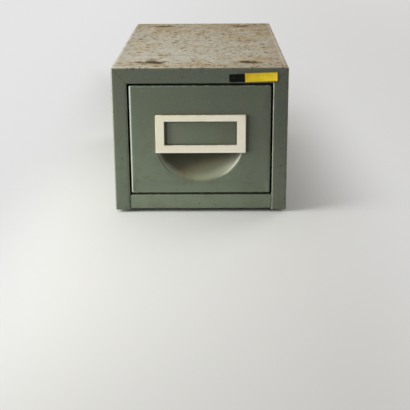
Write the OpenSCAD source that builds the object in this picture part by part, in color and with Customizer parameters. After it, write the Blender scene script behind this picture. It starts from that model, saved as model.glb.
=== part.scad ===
// Small sheet-steel card cabinet with one drawer.
// X runs across, the front faces -Y and Z is up. The origin is under the middle of
// the cabinet's box, on the surface that its feet stand on. Sizes are in millimetres.

/* [Casing] */
// Width over the sides
case_w = 167.3; // [150:0.1:200]
// Depth from the front flange to the rear edge
case_d = 318; // [290:1:360]
// Height from the bottom flange to the top
case_h = 140.35; // [132:0.05:170]
// Thickness of the casing's sheet
case_t = 0.9; // [0.8:0.1:1.2]
// Outer radius of the casing's folds
fold_r = 2; // [1.8:0.1:3]
// Width of the flange down each side of the opening
side_flange = 14.4; // [13:0.05:16]
// Height of the flange over the opening
top_flange = 15.3; // [12:0.1:18]
// Depth of the return folds behind the opening's edges
return_d = 10; // [6:1:12]
// Height of the front rail's top edge over the casing's underside
rail_h = 15.6; // [14:0.1:20]
// How far the front rail is set back
rail_inset = 0.6; // [0.3:0.1:1]
// How far the back panel is set in
back_inset = 1; // [0.8:0.1:2]

/* [Feet and badge] */
// Height of the casing's underside over the ground
foot_gap = 2.4; // [0.6:0.1:4]
// Diameter of a foot
foot_dia = 18; // [12:1:22]
// Distance of the feet from the casing's sides
foot_side = 37; // [28:1:50]
// Distance of the front feet from the front
foot_front = 29; // [24:1:50]
// Distance of the rear feet from the rear
foot_rear = 27; // [24:1:50]
// Length of the badge
badge_w = 45.8; // [30:0.1:60]
// Height of the badge's long field
badge_h = 9.2; // [6:0.1:10]
// Length of its short field
dark_w = 14.9; // [8:0.1:22]
// Height of its short field
dark_h = 7.6; // [5:0.1:9]
// Distance of the badge's middle from the casing's right side
badge_side = 33.2; // [28:0.1:80]
// Slope of the badge in degrees
badge_tilt = 1.9; // [-2:0.1:2]

/* [Drawer] */
// Gap between the drawer front and each side flange
side_gap = 1.85; // [1.2:0.05:2.5]
// Gap over and under the drawer front
end_gap = 1.78; // [1:0.01:2.5]
// Depth of the hollow drawer front
front_d = 16; // [15.5:0.5:22]
// Thickness of the drawer's sheet
draw_t = 0.8; // [0.6:0.1:1]
// Height of the drawer's sides in the middle
side_low = 54; // [44:1:60]
// Height of the drawer's sides at both ends
side_high = 78; // [74:1:84]
// Gap between the drawer's rear and the casing's rear edge
rear_gap = 10; // [8:0.5:16]
// Height of the slide rails over the drawer's underside
rail_rise = 25; // [18:1:30]

/* [Finger pull] */
// Radius of the pull's round outline
pull_r = 42.7; // [34:0.1:44]
// Height of that circle's middle over the drawer front's lower edge
pull_rise = 53.1; // [50:0.05:56]
// Depth of the pressing at its top
pull_d = 12.6; // [8:0.1:13]

/* [Label frame] */
// Width of the frame
label_w = 86.4; // [80:0.1:92]
// Height of the frame
label_h = 36.9; // [34:0.1:40]
// Thickness of the frame
label_t = 3; // [2.4:0.1:4]
// Width of the window
window_w = 69.4; // [60:0.1:72]
// Height of the window
window_h = 23.5; // [18:0.1:26]
// Height of the window's lower edge over the frame's lower edge
window_rise = 7.5; // [5:0.1:9]
// Height of the frame's lower edge over the drawer front's lower edge
label_rise = 41.05; // [40:0.05:44]

/* [Follower] */
// Distance of the follower from the casing's front
follower_at = 215; // [150:1:220]
// Width of the follower plate
follower_w = 118; // [90:1:122]
// Length of the follower plate along its slope
follower_len = 74; // [60:1:80]
// Backward tilt of the plate in degrees
follower_tilt = 12; // [8:1:15]

/* [Hidden] */
$fn = 48;

green = [0.40, 0.44, 0.37];
inner_green = [0.36, 0.40, 0.33];
zinc = [0.70, 0.70, 0.67];
cream = [0.86, 0.84, 0.75];
black = [0.10, 0.10, 0.10];
nylon = [0.88, 0.87, 0.82];
gold = [0.84, 0.72, 0.20];

// Casing: planes and edges
half_w = case_w / 2;
in_w = half_w - case_t;
low = foot_gap;
high = foot_gap + case_h;
front = -(case_d - label_t) / 2;
back = front + case_d;
open_w = half_w - side_flange;
open_top = high - top_flange;
rail_top = low + rail_h;
return_r = 1.6;
floor_z = low + case_t;
floor_top = floor_z + case_t;
rail_w = open_w - 0.3;
wall = back - back_inset - case_t;
rear_flange = 12;
foot_x = half_w - foot_side;
badge_x = half_w - badge_side;
badge_z = high - 0.624 * top_flange;
buffer_x = half_w - 43;
buffer_z = low + 60;
buffer_dia = 12;
rivet_dia = 4;
head_dia = 7;
head_h = 0.9;

// Drawer front and tray
front_w = open_w - side_gap;
front_low = rail_top + end_gap;
front_top = open_top - end_gap;
front_h = front_top - front_low;
tray_w = front_w - 2.4;
tray_low = front_low + 2.4;
tray_top = tray_low + draw_t;
tray_front = front + front_d;
tray_back = back - rear_gap;
tray_len = tray_back - tray_front;

// Runners: the slide rail runs with 0.1 under it and 0.7 over it
slide_h = 6.2;
slide_d = open_w - 0.65 - tray_w;
slide_z = tray_low + rail_rise;
run_low = slide_z - slide_h / 2 - 0.1;
run_high = slide_z + slide_h / 2 + 0.7;
run_edge = tray_w + 1.1;
run_start = tray_front + 1.5;
run_end = back - 15;
stop_y = tray_front + 14;
stop_w = 8.4;
stop_h = 3.2;
glide_len = 18;
glide_y = tray_back - 2 - glide_len;
glide_w = in_w - case_t - 0.3;

// Finger pull
pull_x = -0.2;
pull_z = front_low + pull_rise;
pull_low = pull_z - pull_r;
pull_top = front_low + label_rise + 0.45;

// Label frame
label_x = 0.4;
label_z = front_low + label_rise + label_h / 2;
border_x = (label_w - window_w) / 2;
window_low = window_rise - label_h / 2;
border_top = label_h - window_h - window_rise;
peg_x = label_w / 2 - 0.4 * border_x;
peg_z = [window_low - 0.47 * window_rise, label_h / 2 - 0.53 * border_top];

// Follower: bend middle of its plate, and the pin of its lever
fol_y = front + follower_at;
foot_t = 1.2;
foot_z = tray_top + 0.1;
foot_top = foot_z + foot_t;
foot_len = 32;
foot_w = 44;
rivet_y = [8, 22];
slot_w = 8;
slot_start = front + 72;
slot_end = back - 29;
bend_in = 1.2;
bend_out = bend_in + foot_t;
pin_y = fol_y + foot_len - 8;
pin_z = foot_top + 8.9;
pin_dia = 3;
hub_r = 4;
arm_w = 14;
arm_len = 42;
arm_t = 3;
thumb_r = 2.4;
nose_w = 12;
nose_low = 7.5;
nose_start = 10.2;
nose_end = 16;
spring_t = 0.5;
spring_w = 8;
base_top = foot_top + 1.2;
ear_in = 9;
ear_t = 1.2;
arm_lean = 13;

// Quarter of a ring in the quadrant towards -x and -y, around the origin
module quarter(ro, ri) {
  intersection() {
    difference() {
      circle(ro);
      circle(ri);
    }
    translate([-ro - 1, -ro - 1]) square(ro + 1);
  }
}

// Rectangle from the origin with four rounded corners
module round_rect(w, h, r) {
  translate([r, 0]) square([w - 2 * r, h]);
  translate([0, r]) square([w, h - 2 * r]);
  for (x = [r, w - r], y = [r, h - r]) translate([x, y]) circle(r);
}

// Rectangle from the origin with only its two low corners rounded
module low_round(w, h, r) {
  translate([r, 0]) square([w - 2 * r, h]);
  translate([0, r]) square([w, h - r]);
  for (x = [r, w - r]) translate([x, r]) circle(r);
}

// Block w wide (X), d deep (Y) and h high (Z) from the origin. Its face at y = 0 has
// edges of radius r, and its four edges along Y have radius c.
module bent_block(w, d, h, r, c) {
  intersection() {
    linear_extrude(h) low_round(w, d, r);
    rotate([90, 0, 90]) linear_extrude(w) rotate(90) mirror([0, 1]) low_round(h, d, r);
    translate([0, d, 0]) rotate([90, 0, 0]) linear_extrude(d) round_rect(w, h, c);
  }
}

// Folded tray of sheet t: a face at y = 0 and walls that run towards +Y
module pan(w, d, h, r, c, t) {
  difference() {
    bent_block(w, d, h, r, c);
    translate([t, t, t]) bent_block(w - 2 * t, d, h - 2 * t, r - t, c - t);
  }
}

// Sheet folded back at an edge: quarter fold and leg, along X in plan, extruded up
module return_fold(len, d, r, t) {
  linear_extrude(len) {
    translate([r, r]) quarter(r, r - t);
    translate([0, r]) square([t, d - r]);
  }
}

// Bore along Y from y, with diameter d and length len
module bore_y(d, len) {
  rotate([-90, 0, 0]) cylinder(d = d, h = len);
}

module both_sides() {
  children();
  mirror([1, 0, 0]) children();
}

// ---- Casing ----

module casing_shell() {
  difference() {
    translate([-half_w, front, low])
      pan(case_w, case_d, case_h, fold_r, fold_r, case_t);
    // the pan's rear is open and runs on to the casing's rear edge
    translate([-open_w - return_r, front - 1, low - 1])
      cube([2 * (open_w + return_r), fold_r + 3, open_top + return_r - low + 1]);
    // between the in-turned bottom flanges
    translate([-open_w, front - 1, low - 1])
      cube([2 * open_w, case_d + 2, case_t + 2.2]);
  }
}

module casing_returns() {
  side_len = open_top - low - 0.2;
  // down each side of the opening
  both_sides()
    translate([open_w, front, low + 0.2])
      return_fold(side_len + return_r, return_d, return_r, case_t);
  // along the top of the opening
  translate([-open_w - return_r, front, open_top])
    rotate([90, 0, 90]) linear_extrude(2 * (open_w + return_r)) rotate(90) mirror([0, 1]) {
      translate([return_r, return_r]) quarter(return_r, return_r - case_t);
      translate([0, return_r]) square([case_t, return_d - return_r]);
    }
}

// Fine line where the side and top flanges meet at each upper corner
module mitre_line() {
  run = side_flange - return_r;
  rise = top_flange - return_r;
  len = sqrt(run * run + rise * rise);
  both_sides()
    translate([open_w + return_r, front - 0.5, open_top + return_r])
      rotate([0, -atan2(rise, run), 0])
        translate([-0.3, 0, -0.12]) cube([len - 1.4, 0.8, 0.24]);
}

module casing_wrap() {
  color(green) difference() {
    union() {
      casing_shell();
      casing_returns();
    }
    mitre_line();
  }
}

module rail_profile() {
  // side view: y to the right, z up, from the rail's front face and the floor's underside
  r = fold_r;
  t = case_t;
  h = rail_top - floor_z;
  translate([r, r]) quarter(r, r - t);
  translate([0, r]) square([t, h - r - return_r]);
  translate([return_r, h - return_r]) mirror([0, 1]) quarter(return_r, return_r - t);
  translate([return_r, h - t]) square([9 - 2 * return_r, t]);
  translate([9 - return_r, h - return_r])
    mirror([1, 0]) mirror([0, 1]) quarter(return_r, return_r - t);
  translate([9 - t, h - 7]) square([t, 7 - return_r]);
}

module base_pan() {
  y0 = front + rail_inset;
  y1 = front + return_d + 0.4;
  floor_w = in_w - fold_r + case_t;
  color(inner_green) difference() {
    union() {
      intersection() {
        translate([-rail_w, y0, floor_z])
          rotate([90, 0, 90]) linear_extrude(2 * rail_w) rail_profile();
        // the rail's upper corners are eased
        translate([-rail_w, y0 + 30, floor_z - 20]) rotate([90, 0, 0])
          linear_extrude(40) round_rect(2 * rail_w, rail_top - floor_z + 20, 1.6);
      }
      translate([-rail_w, y0 + fold_r, floor_z])
        cube([2 * rail_w, return_d + 2 - fold_r, case_t]);
      translate([-floor_w, y1, floor_z]) cube([2 * floor_w, wall - 0.2 - y1, case_t]);
    }
    for (x = [-foot_x, foot_x], y = [front + foot_front, back - foot_rear])
      translate([x, y, floor_z - 1]) cylinder(d = 6.4, h = case_t + 2);
  }
}

module back_panel() {
  h = high - case_t - floor_top;
  color(inner_green) difference() {
    translate([0, back - back_inset, floor_top]) mirror([0, 1, 0]) translate([-in_w, 0, 0])
      pan(2 * in_w, rear_flange, h, fold_r, fold_r, case_t);
    for (x = [-buffer_x, buffer_x])
      translate([x, wall - 1, buffer_z]) bore_y(5.2, case_t + 2);
  }
}

// Left-hand runner, seen from the front: an open channel on the casing's side
module runner() {
  leg = in_w - run_edge;
  t = case_t;
  y_len = run_end - run_start;
  difference() {
    union() {
      translate([run_edge, run_end, 0]) rotate([90, 0, 0]) linear_extrude(y_len) {
        translate([0, run_low - t]) square([leg - return_r, t]);
        translate([0, run_high]) square([leg - return_r, t]);
        translate([leg - return_r, run_low - t + return_r])
          mirror([1, 0]) quarter(return_r, return_r - t);
        translate([leg - return_r, run_high + t - return_r])
          mirror([1, 0]) mirror([0, 1]) quarter(return_r, return_r - t);
        translate([leg - t, run_low - t + return_r])
          square([t, run_high - run_low + 2 * t - 2 * return_r]);
      }
      // stop tab, lanced up from the lower leg
      translate([open_w + 0.9, stop_y, run_low - 0.2]) cube([stop_w, t, stop_h + 0.2]);
    }
    // the window that it was lanced from
    translate([open_w + 0.9, stop_y + t, run_low - t - 1]) cube([stop_w, stop_h + 0.2, t + 2]);
  }
}

module runner_right() {
  color(zinc) runner();
}

module runner_left() {
  color(zinc) mirror([1, 0, 0]) runner();
}

module buffer_at(x) {
  len = wall - tray_back - 0.3;
  r = buffer_dia / 2;
  color(black) translate([x, wall, buffer_z]) rotate([90, 0, 0]) {
    rotate_extrude() {
      square([r, len - 2]);
      square([r - 2, len]);
      translate([r - 2, len - 2]) intersection() {
        circle(2);
        square(3);
      }
    }
    translate([0, 0, -case_t - 0.1]) cylinder(d = 5, h = case_t + 0.2);
    translate([0, 0, -case_t - 0.8]) cylinder(d = 8, h = 0.8);
  }
}

module buffer_left() {
  buffer_at(-buffer_x);
}

module buffer_right() {
  buffer_at(buffer_x);
}

module foot_at(x, y) {
  color(black) translate([x, y, 0]) {
    rotate_extrude() {
      square([foot_dia / 2 - 0.6, floor_z]);
      translate([0, 0.6]) square([foot_dia / 2, floor_z - 0.6]);
      translate([foot_dia / 2 - 0.6, 0.6]) circle(0.6);
    }
    cylinder(d = 6.2, h = floor_top + 0.1);
    translate([0, 0, floor_top]) cylinder(d = 9, h = 1.2);
    translate([0, 0, floor_top + 1.2]) cylinder(d1 = 9, d2 = 5, h = 1.2);
  }
}

module foot_front_left() {
  foot_at(-foot_x, front + foot_front);
}

module foot_front_right() {
  foot_at(foot_x, front + foot_front);
}

module foot_rear_left() {
  foot_at(-foot_x, back - foot_rear);
}

module foot_rear_right() {
  foot_at(foot_x, back - foot_rear);
}

// Thin plate, stuck on the top flange a little out of level. Its long field stands
// higher and lower than the short one beside it
module badge_plate() {
  color(gold) translate([badge_x, front, badge_z]) rotate([90, -badge_tilt, 0])
    for (step = [[0, 0.35], [0.25, 0.55]]) linear_extrude(step[1]) {
      translate([-badge_w / 2 + step[0], -dark_h / 2 + step[0]])
        round_rect(dark_w + 3, dark_h - 2 * step[0], 1.6 - step[0]);
      translate([-badge_w / 2 + dark_w + step[0], -badge_h / 2 + step[0]])
        round_rect(badge_w - dark_w - 2 * step[0], badge_h - 2 * step[0], 1.6 - step[0]);
    }
}

// ---- Drawer ----

// Share of the full pressing depth at point (x, z), for an outline grown by g
function pull_share(x, z, g) =
  let (r = sqrt(pow(x - pull_x, 2) + pow(z - pull_z, 2)) / (pull_r + g),
       s = (z - pull_low + g) / (pull_top - pull_low + 2 * g))
  r >= 1 || s <= 0 ? 0 : (1 - pow(r, 4)) * pow(s, 0.7);

// Length of the ray at angle a from the middle of the straight edge to the round one
function pull_ray(a, g) =
  let (rise = pull_z - pull_top - g, r = pull_r + g)
  rise * sin(a) + sqrt(pow(rise * sin(a), 2) + r * r - rise * rise);

// Half-moon solid from y = y0 back to the pressed surface, which starts at y = y1
module pull_form(g, y0, y1, depth) {
  n = 26;
  m = 9;
  z0 = pull_top + g;
  // rings run from the middle of the straight edge out to the rim
  share = [for (j = [0 : m]) pow(j / m, 0.8)];
  grid = [for (i = [0 : n], j = [0 : m])
    let (a = 180 + 180 * i / n, q = pull_ray(a, g) * share[j],
         x = pull_x + q * cos(a), z = z0 + q * sin(a))
    [x, y1 + depth * pull_share(x, z, g), z]];
  rim = [for (i = [0 : n])
    let (a = 180 + 180 * i / n, q = pull_ray(a, g))
    [pull_x + q * cos(a), y0, z0 + q * sin(a)]];
  k = m + 1;
  base = len(grid);
  back_a = [for (i = [0 : n - 1], j = [1 : m - 1])
    [i * k + j, (i + 1) * k + j, (i + 1) * k + j + 1]];
  back_b = [for (i = [0 : n - 1], j = [1 : m - 1])
    [i * k + j, (i + 1) * k + j + 1, i * k + j + 1]];
  core = [for (i = [0 : n - 1]) [0, (i + 1) * k + 1, i * k + 1]];
  edge_a = [for (i = [0 : n - 1]) [i * k + m, (i + 1) * k + m, base + i + 1]];
  edge_b = [for (i = [0 : n - 1]) [i * k + m, base + i + 1, base + i]];
  face = [[for (i = [0 : n]) base + i]];
  straight = [concat([base, base + n], [for (j = [m : -1 : 1]) n * k + j], [0],
                     [for (j = [1 : m]) j])];
  all = concat(back_a, back_b, core, edge_a, edge_b, face, straight);
  // each face is listed clockwise from outside
  polyhedron(points = concat(grid, rim),
             faces = [for (f = all) [for (i = [len(f) - 1 : -1 : 0]) f[i]]]);
}

module drawer_front() {
  color(green) difference() {
    union() {
      translate([-front_w, front, front_low])
        pan(2 * front_w, front_d, front_h, fold_r, 1.6, draw_t);
      pull_form(0.9, front + 0.3, front + draw_t, pull_d + 0.3);
    }
    pull_form(0, front - 1, front, pull_d);
    for (x = [-peg_x, peg_x], z = peg_z)
      translate([label_x + x, front - 1, label_z + z]) bore_y(2.7, draw_t + 2);
  }
}

module front_liner() {
  color(inner_green) translate([0, tray_front, front_low + draw_t]) mirror([0, 1, 0])
    translate([-front_w + draw_t, 0, 0])
      pan(2 * (front_w - draw_t), 9, front_h - 2 * draw_t, 1.6, 1.2, draw_t);
}

// Side view of what is left of the tray's sides
module side_outline() {
  lo = tray_low + side_low;
  hi = tray_low + side_high;
  r = hi - lo - 6;
  y_a = tray_front + 22;
  y_b = tray_back - 22;
  difference() {
    translate([tray_front, tray_low - 1]) square([tray_len, hi - tray_low + 1]);
    translate([y_a, lo]) square([y_b - y_a, hi]);
    // eased upper corners
    for (e = [[y_a - 6, 0], [y_b + 6, 1]])
      difference() {
        translate([e[0] - e[1] * 7, hi - 6]) square(7);
        translate([e[0], hi - 6]) circle(6);
      }
  }
  // sweep from the low part up to each end
  for (e = [[y_a, 1, 0], [y_b, -1, 1]])
    difference() {
      translate([e[0] - e[2] * r, lo - 1]) square([r, r + 1]);
      translate([e[0] + e[1] * r, lo + r]) circle(r);
    }
}

module tray_profile(w, h, r) {
  difference() {
    low_round(w, h, r);
    translate([draw_t, draw_t]) low_round(w - 2 * draw_t, h, r - draw_t);
  }
}

module drawer_tray() {
  h = side_high;
  color(inner_green) difference() {
    union() {
      intersection() {
        translate([-tray_w, tray_back, tray_low]) rotate([90, 0, 0])
          linear_extrude(tray_len - 1.6) tray_profile(2 * tray_w, h, 1.6);
        translate([-tray_w - 1, 0, 0]) rotate([90, 0, 90])
          linear_extrude(2 * tray_w + 2) side_outline();
      }
      // floor and side flanges that are welded to the drawer front's liner
      translate([-tray_w + 12, tray_front, tray_low]) cube([2 * tray_w - 24, 3, draw_t]);
      both_sides() translate([-tray_w, tray_front, tray_low + 2.4]) {
        linear_extrude(h - 4) {
          translate([1.6, 1.6]) quarter(1.6, 1.6 - draw_t);
          translate([1.6, 0]) square([9, draw_t]);
          translate([0, 1.6]) square([draw_t, 1]);
        }
      }
    }
    // slot that the follower's shoe is keyed in
    for (y = [slot_start, slot_end]) translate([0, y, tray_low - 1])
      cylinder(d = slot_w, h = draw_t + 2);
    translate([-slot_w / 2, slot_start, tray_low - 1])
      cube([slot_w, slot_end - slot_start, draw_t + 2]);
    // rivet holes of the guide blocks
    translate([-tray_w - 1, glide_y + glide_len / 2, slide_z]) rotate([0, 90, 0])
      cylinder(d = rivet_dia + 0.2, h = 2 * tray_w + 2);
  }
}

module drawer_back() {
  w = tray_w - draw_t;
  color(inner_green) translate([0, tray_back, tray_top]) mirror([0, 1, 0])
    translate([-w, 0, 0]) pan(2 * w, 6, side_high - 5, 1.6, 1.2, draw_t);
}

// Hollow pressed rail, welded along the tray's side by its two flanges
module slide() {
  d = slide_d;
  t = 0.7;
  f = 4.5;
  h = slide_h / 2;
  y_len = glide_y - tray_front - 1.4;
  translate([tray_w, glide_y, slide_z]) rotate([90, 0, 0]) linear_extrude(y_len) {
    difference() {
      translate([0, -h]) square([d - 1, 2 * h]);
      translate([-1, -h + t]) square([d + 1 - t, 2 * (h - t)]);
    }
    translate([d - t, -h + 1]) square([t, 2 * h - 2]);
    for (s = [0, 1]) mirror([0, s]) {
      translate([d - 1, -h + 1]) mirror([1, 0]) quarter(1, 1 - t);
      translate([0, h - t]) square([t, f + t]);
    }
  }
}

module slide_right() {
  color(zinc) slide();
}

module slide_left() {
  color(zinc) mirror([1, 0, 0]) slide();
}

// Nylon block on the drawer's rear corner, guided by the runner
module glide() {
  w = glide_w - tray_w;
  difference() {
    translate([tray_w, glide_y, slide_z - slide_h / 2])
      linear_extrude(slide_h) {
        translate([0, 0]) square([w - 2, glide_len]);
        translate([0, 2]) square([w, glide_len - 4]);
        for (y = [2, glide_len - 2]) translate([w - 2, y]) circle(2);
      }
    translate([tray_w - 1, glide_y + glide_len / 2, slide_z]) rotate([0, 90, 0])
      cylinder(d = rivet_dia + 0.2, h = w + 2);
    translate([tray_w + 4, glide_y + glide_len / 2, slide_z]) rotate([0, 90, 0])
      cylinder(d = 5.4, h = w);
  }
}

module glide_right() {
  color(nylon) glide();
}

module glide_left() {
  color(nylon) mirror([1, 0, 0]) glide();
}

module glide_rivets() {
  color(zinc) both_sides()
    translate([tray_w, glide_y + glide_len / 2, slide_z]) rotate([0, 90, 0]) {
      translate([0, 0, -draw_t - head_h]) cylinder(d = head_dia, h = head_h);
      translate([0, 0, -draw_t - 0.1]) cylinder(d = rivet_dia, h = draw_t + 4.2);
      translate([0, 0, 4]) cylinder(d = 5.2, h = head_h);
    }
}

// Moulded frame with a shallow card pocket behind its window
module label_holder() {
  c = 0.6;
  w = label_w;
  h = label_h;
  color(cream) translate([label_x, front, label_z]) {
    difference() {
      intersection() {
        translate([-w / 2, 0, -h / 2]) rotate([90, 0, 0])
          linear_extrude(label_t) round_rect(w, h, 0.8);
        translate([0, 0, -h / 2]) linear_extrude(h)
          polygon([[-w / 2, 0], [-w / 2, -label_t + c], [-w / 2 + c, -label_t],
                   [w / 2 - c, -label_t], [w / 2, -label_t + c], [w / 2, 0]]);
        translate([-w / 2, 0, 0]) rotate([90, 0, 90]) linear_extrude(w)
          polygon([[0, -h / 2], [-label_t + c, -h / 2], [-label_t, -h / 2 + c],
                   [-label_t, h / 2 - c], [-label_t + c, h / 2], [0, h / 2]]);
      }
      translate([-window_w / 2, -label_t - 1, window_low])
        cube([window_w, label_t + 2, window_h]);
      // pocket for a paper label, open at the frame's upper edge
      translate([-window_w / 2 - 0.25 * border_x, -0.6, window_low - 0.3 * window_rise])
        cube([window_w + 0.5 * border_x, 1, h]);
    }
    for (x = [-peg_x, peg_x], z = peg_z) translate([x, -0.1, z]) {
      bore_y(2.5, draw_t + 0.2);
      translate([0, draw_t + 0.1, 0]) bore_y(4, 0.9);
    }
  }
}

// ---- Follower ----

module follower_plate() {
  w = follower_w;
  steps = 10;
  slope = [sin(follower_tilt), cos(follower_tilt)];
  // directions round the bend, from straight down to square to the plate
  turn = [for (i = [0 : steps])
    let (a = 270 - (90 + follower_tilt) * i / steps) [cos(a), sin(a)]];
  color(zinc) translate([0, fol_y, foot_z + bend_out]) difference() {
    union() {
      // foot, bend and the narrow neck of the plate
      translate([-foot_w / 2, 0, 0]) rotate([90, 0, 90]) linear_extrude(foot_w)
        polygon(concat([[foot_len, -bend_in], [foot_len, -bend_out]],
                       [for (i = [0 : steps]) bend_out * turn[i]],
                       [bend_out * turn[steps] + 8 * slope, bend_in * turn[steps] + 8 * slope],
                       [for (i = [steps : -1 : 0]) bend_in * turn[i]]));
      // sloping plate with eased upper corners
      rotate([90 - follower_tilt, 0, 0]) translate([0, 0, bend_in]) linear_extrude(foot_t) {
        translate([-w / 2, 3]) square([w, follower_len - 13]);
        translate([-w / 2 + 10, 3]) square([w - 20, follower_len - 3]);
        for (s = [-1, 1]) translate([s * (w / 2 - 10), follower_len - 10]) circle(10);
      }
    }
    // thumb notch
    rotate([90 - follower_tilt, 0, 0]) translate([0, follower_len + 2, -1])
      cylinder(r = 13, h = 6);
    // rivet holes
    for (y = rivet_y) translate([0, y, -bend_out - 1]) cylinder(d = rivet_dia + 0.1, h = 3);
  }
}

module follower_shoe() {
  color(zinc) translate([0, fol_y, 0]) difference() {
    union() {
      translate([-11, 3, tray_low - 2.1]) cube([22, 28, 2]);
      translate([-slot_w / 2 + 0.15, 3, tray_low - 0.2])
        cube([slot_w - 0.3, 28, foot_z - tray_low + 0.2]);
    }
    for (y = rivet_y) translate([0, y, tray_low - 4]) cylinder(d = rivet_dia + 0.1, h = 8);
  }
}

module follower_rivets() {
  z0 = tray_low - 2.1;
  // each rivet: distance from the bend, and the height its upper head sits at
  color(zinc) for (r = [[rivet_y[0], foot_top + spring_t], [rivet_y[1], base_top]])
    translate([0, fol_y + r[0], 0]) {
      translate([0, 0, z0 - 0.8]) cylinder(d = head_dia, h = 0.8);
      translate([0, 0, z0 - 0.1]) cylinder(d = rivet_dia, h = r[1] - z0 + 0.2);
      translate([0, 0, r[1]]) cylinder(d1 = head_dia, d2 = head_dia - 2, h = head_h);
    }
}

module lever_bracket() {
  y0 = fol_y + 15;
  len = 15;
  color(zinc) difference() {
    union() {
      translate([-ear_in - ear_t, y0, foot_top]) cube([2 * (ear_in + ear_t), len, ear_t]);
      both_sides() translate([ear_in, 0, 0]) rotate([90, 0, 90]) linear_extrude(ear_t) {
        translate([y0, foot_top]) square([len, 4]);
        translate([pin_y - 5, foot_top]) square([10, pin_z - foot_top]);
        translate([pin_y, pin_z]) circle(5);
      }
    }
    translate([0, fol_y + rivet_y[1], foot_top - 1]) cylinder(d = rivet_dia + 0.1, h = 4);
    translate([-20, pin_y, pin_z]) rotate([0, 90, 0]) cylinder(d = pin_dia + 0.1, h = 40);
  }
}

module lever_pin() {
  w = ear_in + ear_t;
  color(zinc) translate([-w, pin_y, pin_z]) rotate([0, 90, 0]) {
    translate([0, 0, -1]) cylinder(d = pin_dia + 2, h = 1);
    translate([0, 0, -0.1]) cylinder(d = pin_dia, h = 2 * w + 0.2);
    translate([0, 0, 2 * w]) cylinder(d = pin_dia + 1.4, h = 0.8);
  }
}

// Leaf spring: clamped under the front rivet's head, bears on the lever's arm
module lever_spring() {
  t = spring_t;
  // foot of the slope, and where its tip meets the arm
  ya = rivet_y[0] + head_dia / 2 + 0.6;
  up = arm_len / 2 + 1;
  out = arm_t / 2 + 0.25;
  tip_y = pin_y - fol_y + up * sin(arm_lean) - out * cos(arm_lean);
  tip_z = pin_z - foot_top + up * cos(arm_lean) + out * sin(arm_lean);
  a = atan2(tip_z - 1, tip_y - ya - 1);
  run = sqrt(pow(tip_z - 1, 2) + pow(tip_y - ya - 1, 2));
  color(zinc) translate([0, fol_y, foot_top]) difference() {
    translate([-spring_w / 2, 0, 0]) rotate([90, 0, 90]) linear_extrude(spring_w) {
      translate([4, 0]) square([ya - 4, t]);
      // fold at the foot of the slope
      translate([ya, 1.5]) intersection() {
        difference() {
          circle(1.5);
          circle(1.5 - t);
        }
        polygon([[0, 0], [0, -4], [4, -4], [4 * sin(a), -4 * cos(a)]]);
      }
      translate([ya, 1.5]) rotate(a) translate([0, -1.5]) square([run - 0.6, t]);
    }
    translate([0, rivet_y[0], -1]) cylinder(d = rivet_dia + 0.1, h = 3);
  }
}

module lock_lever() {
  color(zinc) difference() {
    translate([0, pin_y, pin_z]) {
      // hub
      translate([-ear_in + 0.3, 0, 0]) rotate([0, 90, 0]) cylinder(r = hub_r, h = 2 * ear_in - 0.6);
      // arm and thumb pad
      translate([-arm_w / 2, 0, 0]) rotate([90, 0, 90]) linear_extrude(arm_w) rotate(-arm_lean) {
        translate([-arm_t / 2, 0]) square([arm_t, arm_len]);
        translate([0, arm_len]) circle(thumb_r);
      }
      // nose that carries the brake pad
      translate([-nose_w / 2, 0, 0]) rotate([90, 0, 90]) linear_extrude(nose_w)
        polygon([[-hub_r / 2, -3], [nose_start, -nose_low], [nose_end, -nose_low],
                 [nose_end, 2.3 - nose_low], [hub_r / 2, 3]]);
    }
    translate([-20, pin_y, pin_z]) rotate([0, 90, 0]) cylinder(d = pin_dia + 0.14, h = 40);
  }
}

module lever_pad() {
  z0 = tray_top + 0.15;
  color(black) translate([-nose_w / 2, pin_y + nose_start, z0])
    cube([nose_w, nose_end - nose_start, pin_z - nose_low - z0]);
}

casing_wrap();
base_pan();
back_panel();
runner_left();
runner_right();
buffer_left();
buffer_right();
foot_front_left();
foot_front_right();
foot_rear_left();
foot_rear_right();
badge_plate();
drawer_front();
front_liner();
drawer_tray();
drawer_back();
slide_left();
slide_right();
glide_left();
glide_right();
glide_rivets();
label_holder();
follower_plate();
follower_shoe();
follower_rivets();
lever_bracket();
lever_pin();
lever_spring();
lock_lever();
lever_pad();
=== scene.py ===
"""Sheet-steel card cabinet with one drawer, dressed piece by piece in the order in which it
is put together. Sizes are in millimetres unless a name says otherwise."""

from math import asin, cos, degrees, pi, radians, sin, sqrt, tan

import bmesh
import bpy
from mathutils import Matrix, Vector


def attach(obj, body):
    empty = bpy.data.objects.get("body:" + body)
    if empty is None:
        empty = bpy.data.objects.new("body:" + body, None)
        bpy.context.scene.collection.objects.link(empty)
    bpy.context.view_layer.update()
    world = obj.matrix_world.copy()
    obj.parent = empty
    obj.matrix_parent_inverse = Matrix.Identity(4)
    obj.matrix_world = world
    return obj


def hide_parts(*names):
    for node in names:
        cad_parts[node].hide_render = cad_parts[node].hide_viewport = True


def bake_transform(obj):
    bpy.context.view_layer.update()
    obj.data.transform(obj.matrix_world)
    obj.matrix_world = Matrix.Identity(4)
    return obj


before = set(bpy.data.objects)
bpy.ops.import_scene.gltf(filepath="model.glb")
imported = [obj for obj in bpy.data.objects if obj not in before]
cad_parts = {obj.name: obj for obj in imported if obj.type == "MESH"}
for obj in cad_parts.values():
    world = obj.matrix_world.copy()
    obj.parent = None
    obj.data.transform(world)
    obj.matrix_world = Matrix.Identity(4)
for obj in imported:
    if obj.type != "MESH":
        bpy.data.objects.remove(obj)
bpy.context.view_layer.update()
scene = bpy.context.scene

# ---- Camera ----
# Stands 85 cm in front of the cabinet's face and 29 cm over the ground, and looks down on
# it with a short telephoto lens, so that the front and the worn top both show.

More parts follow.
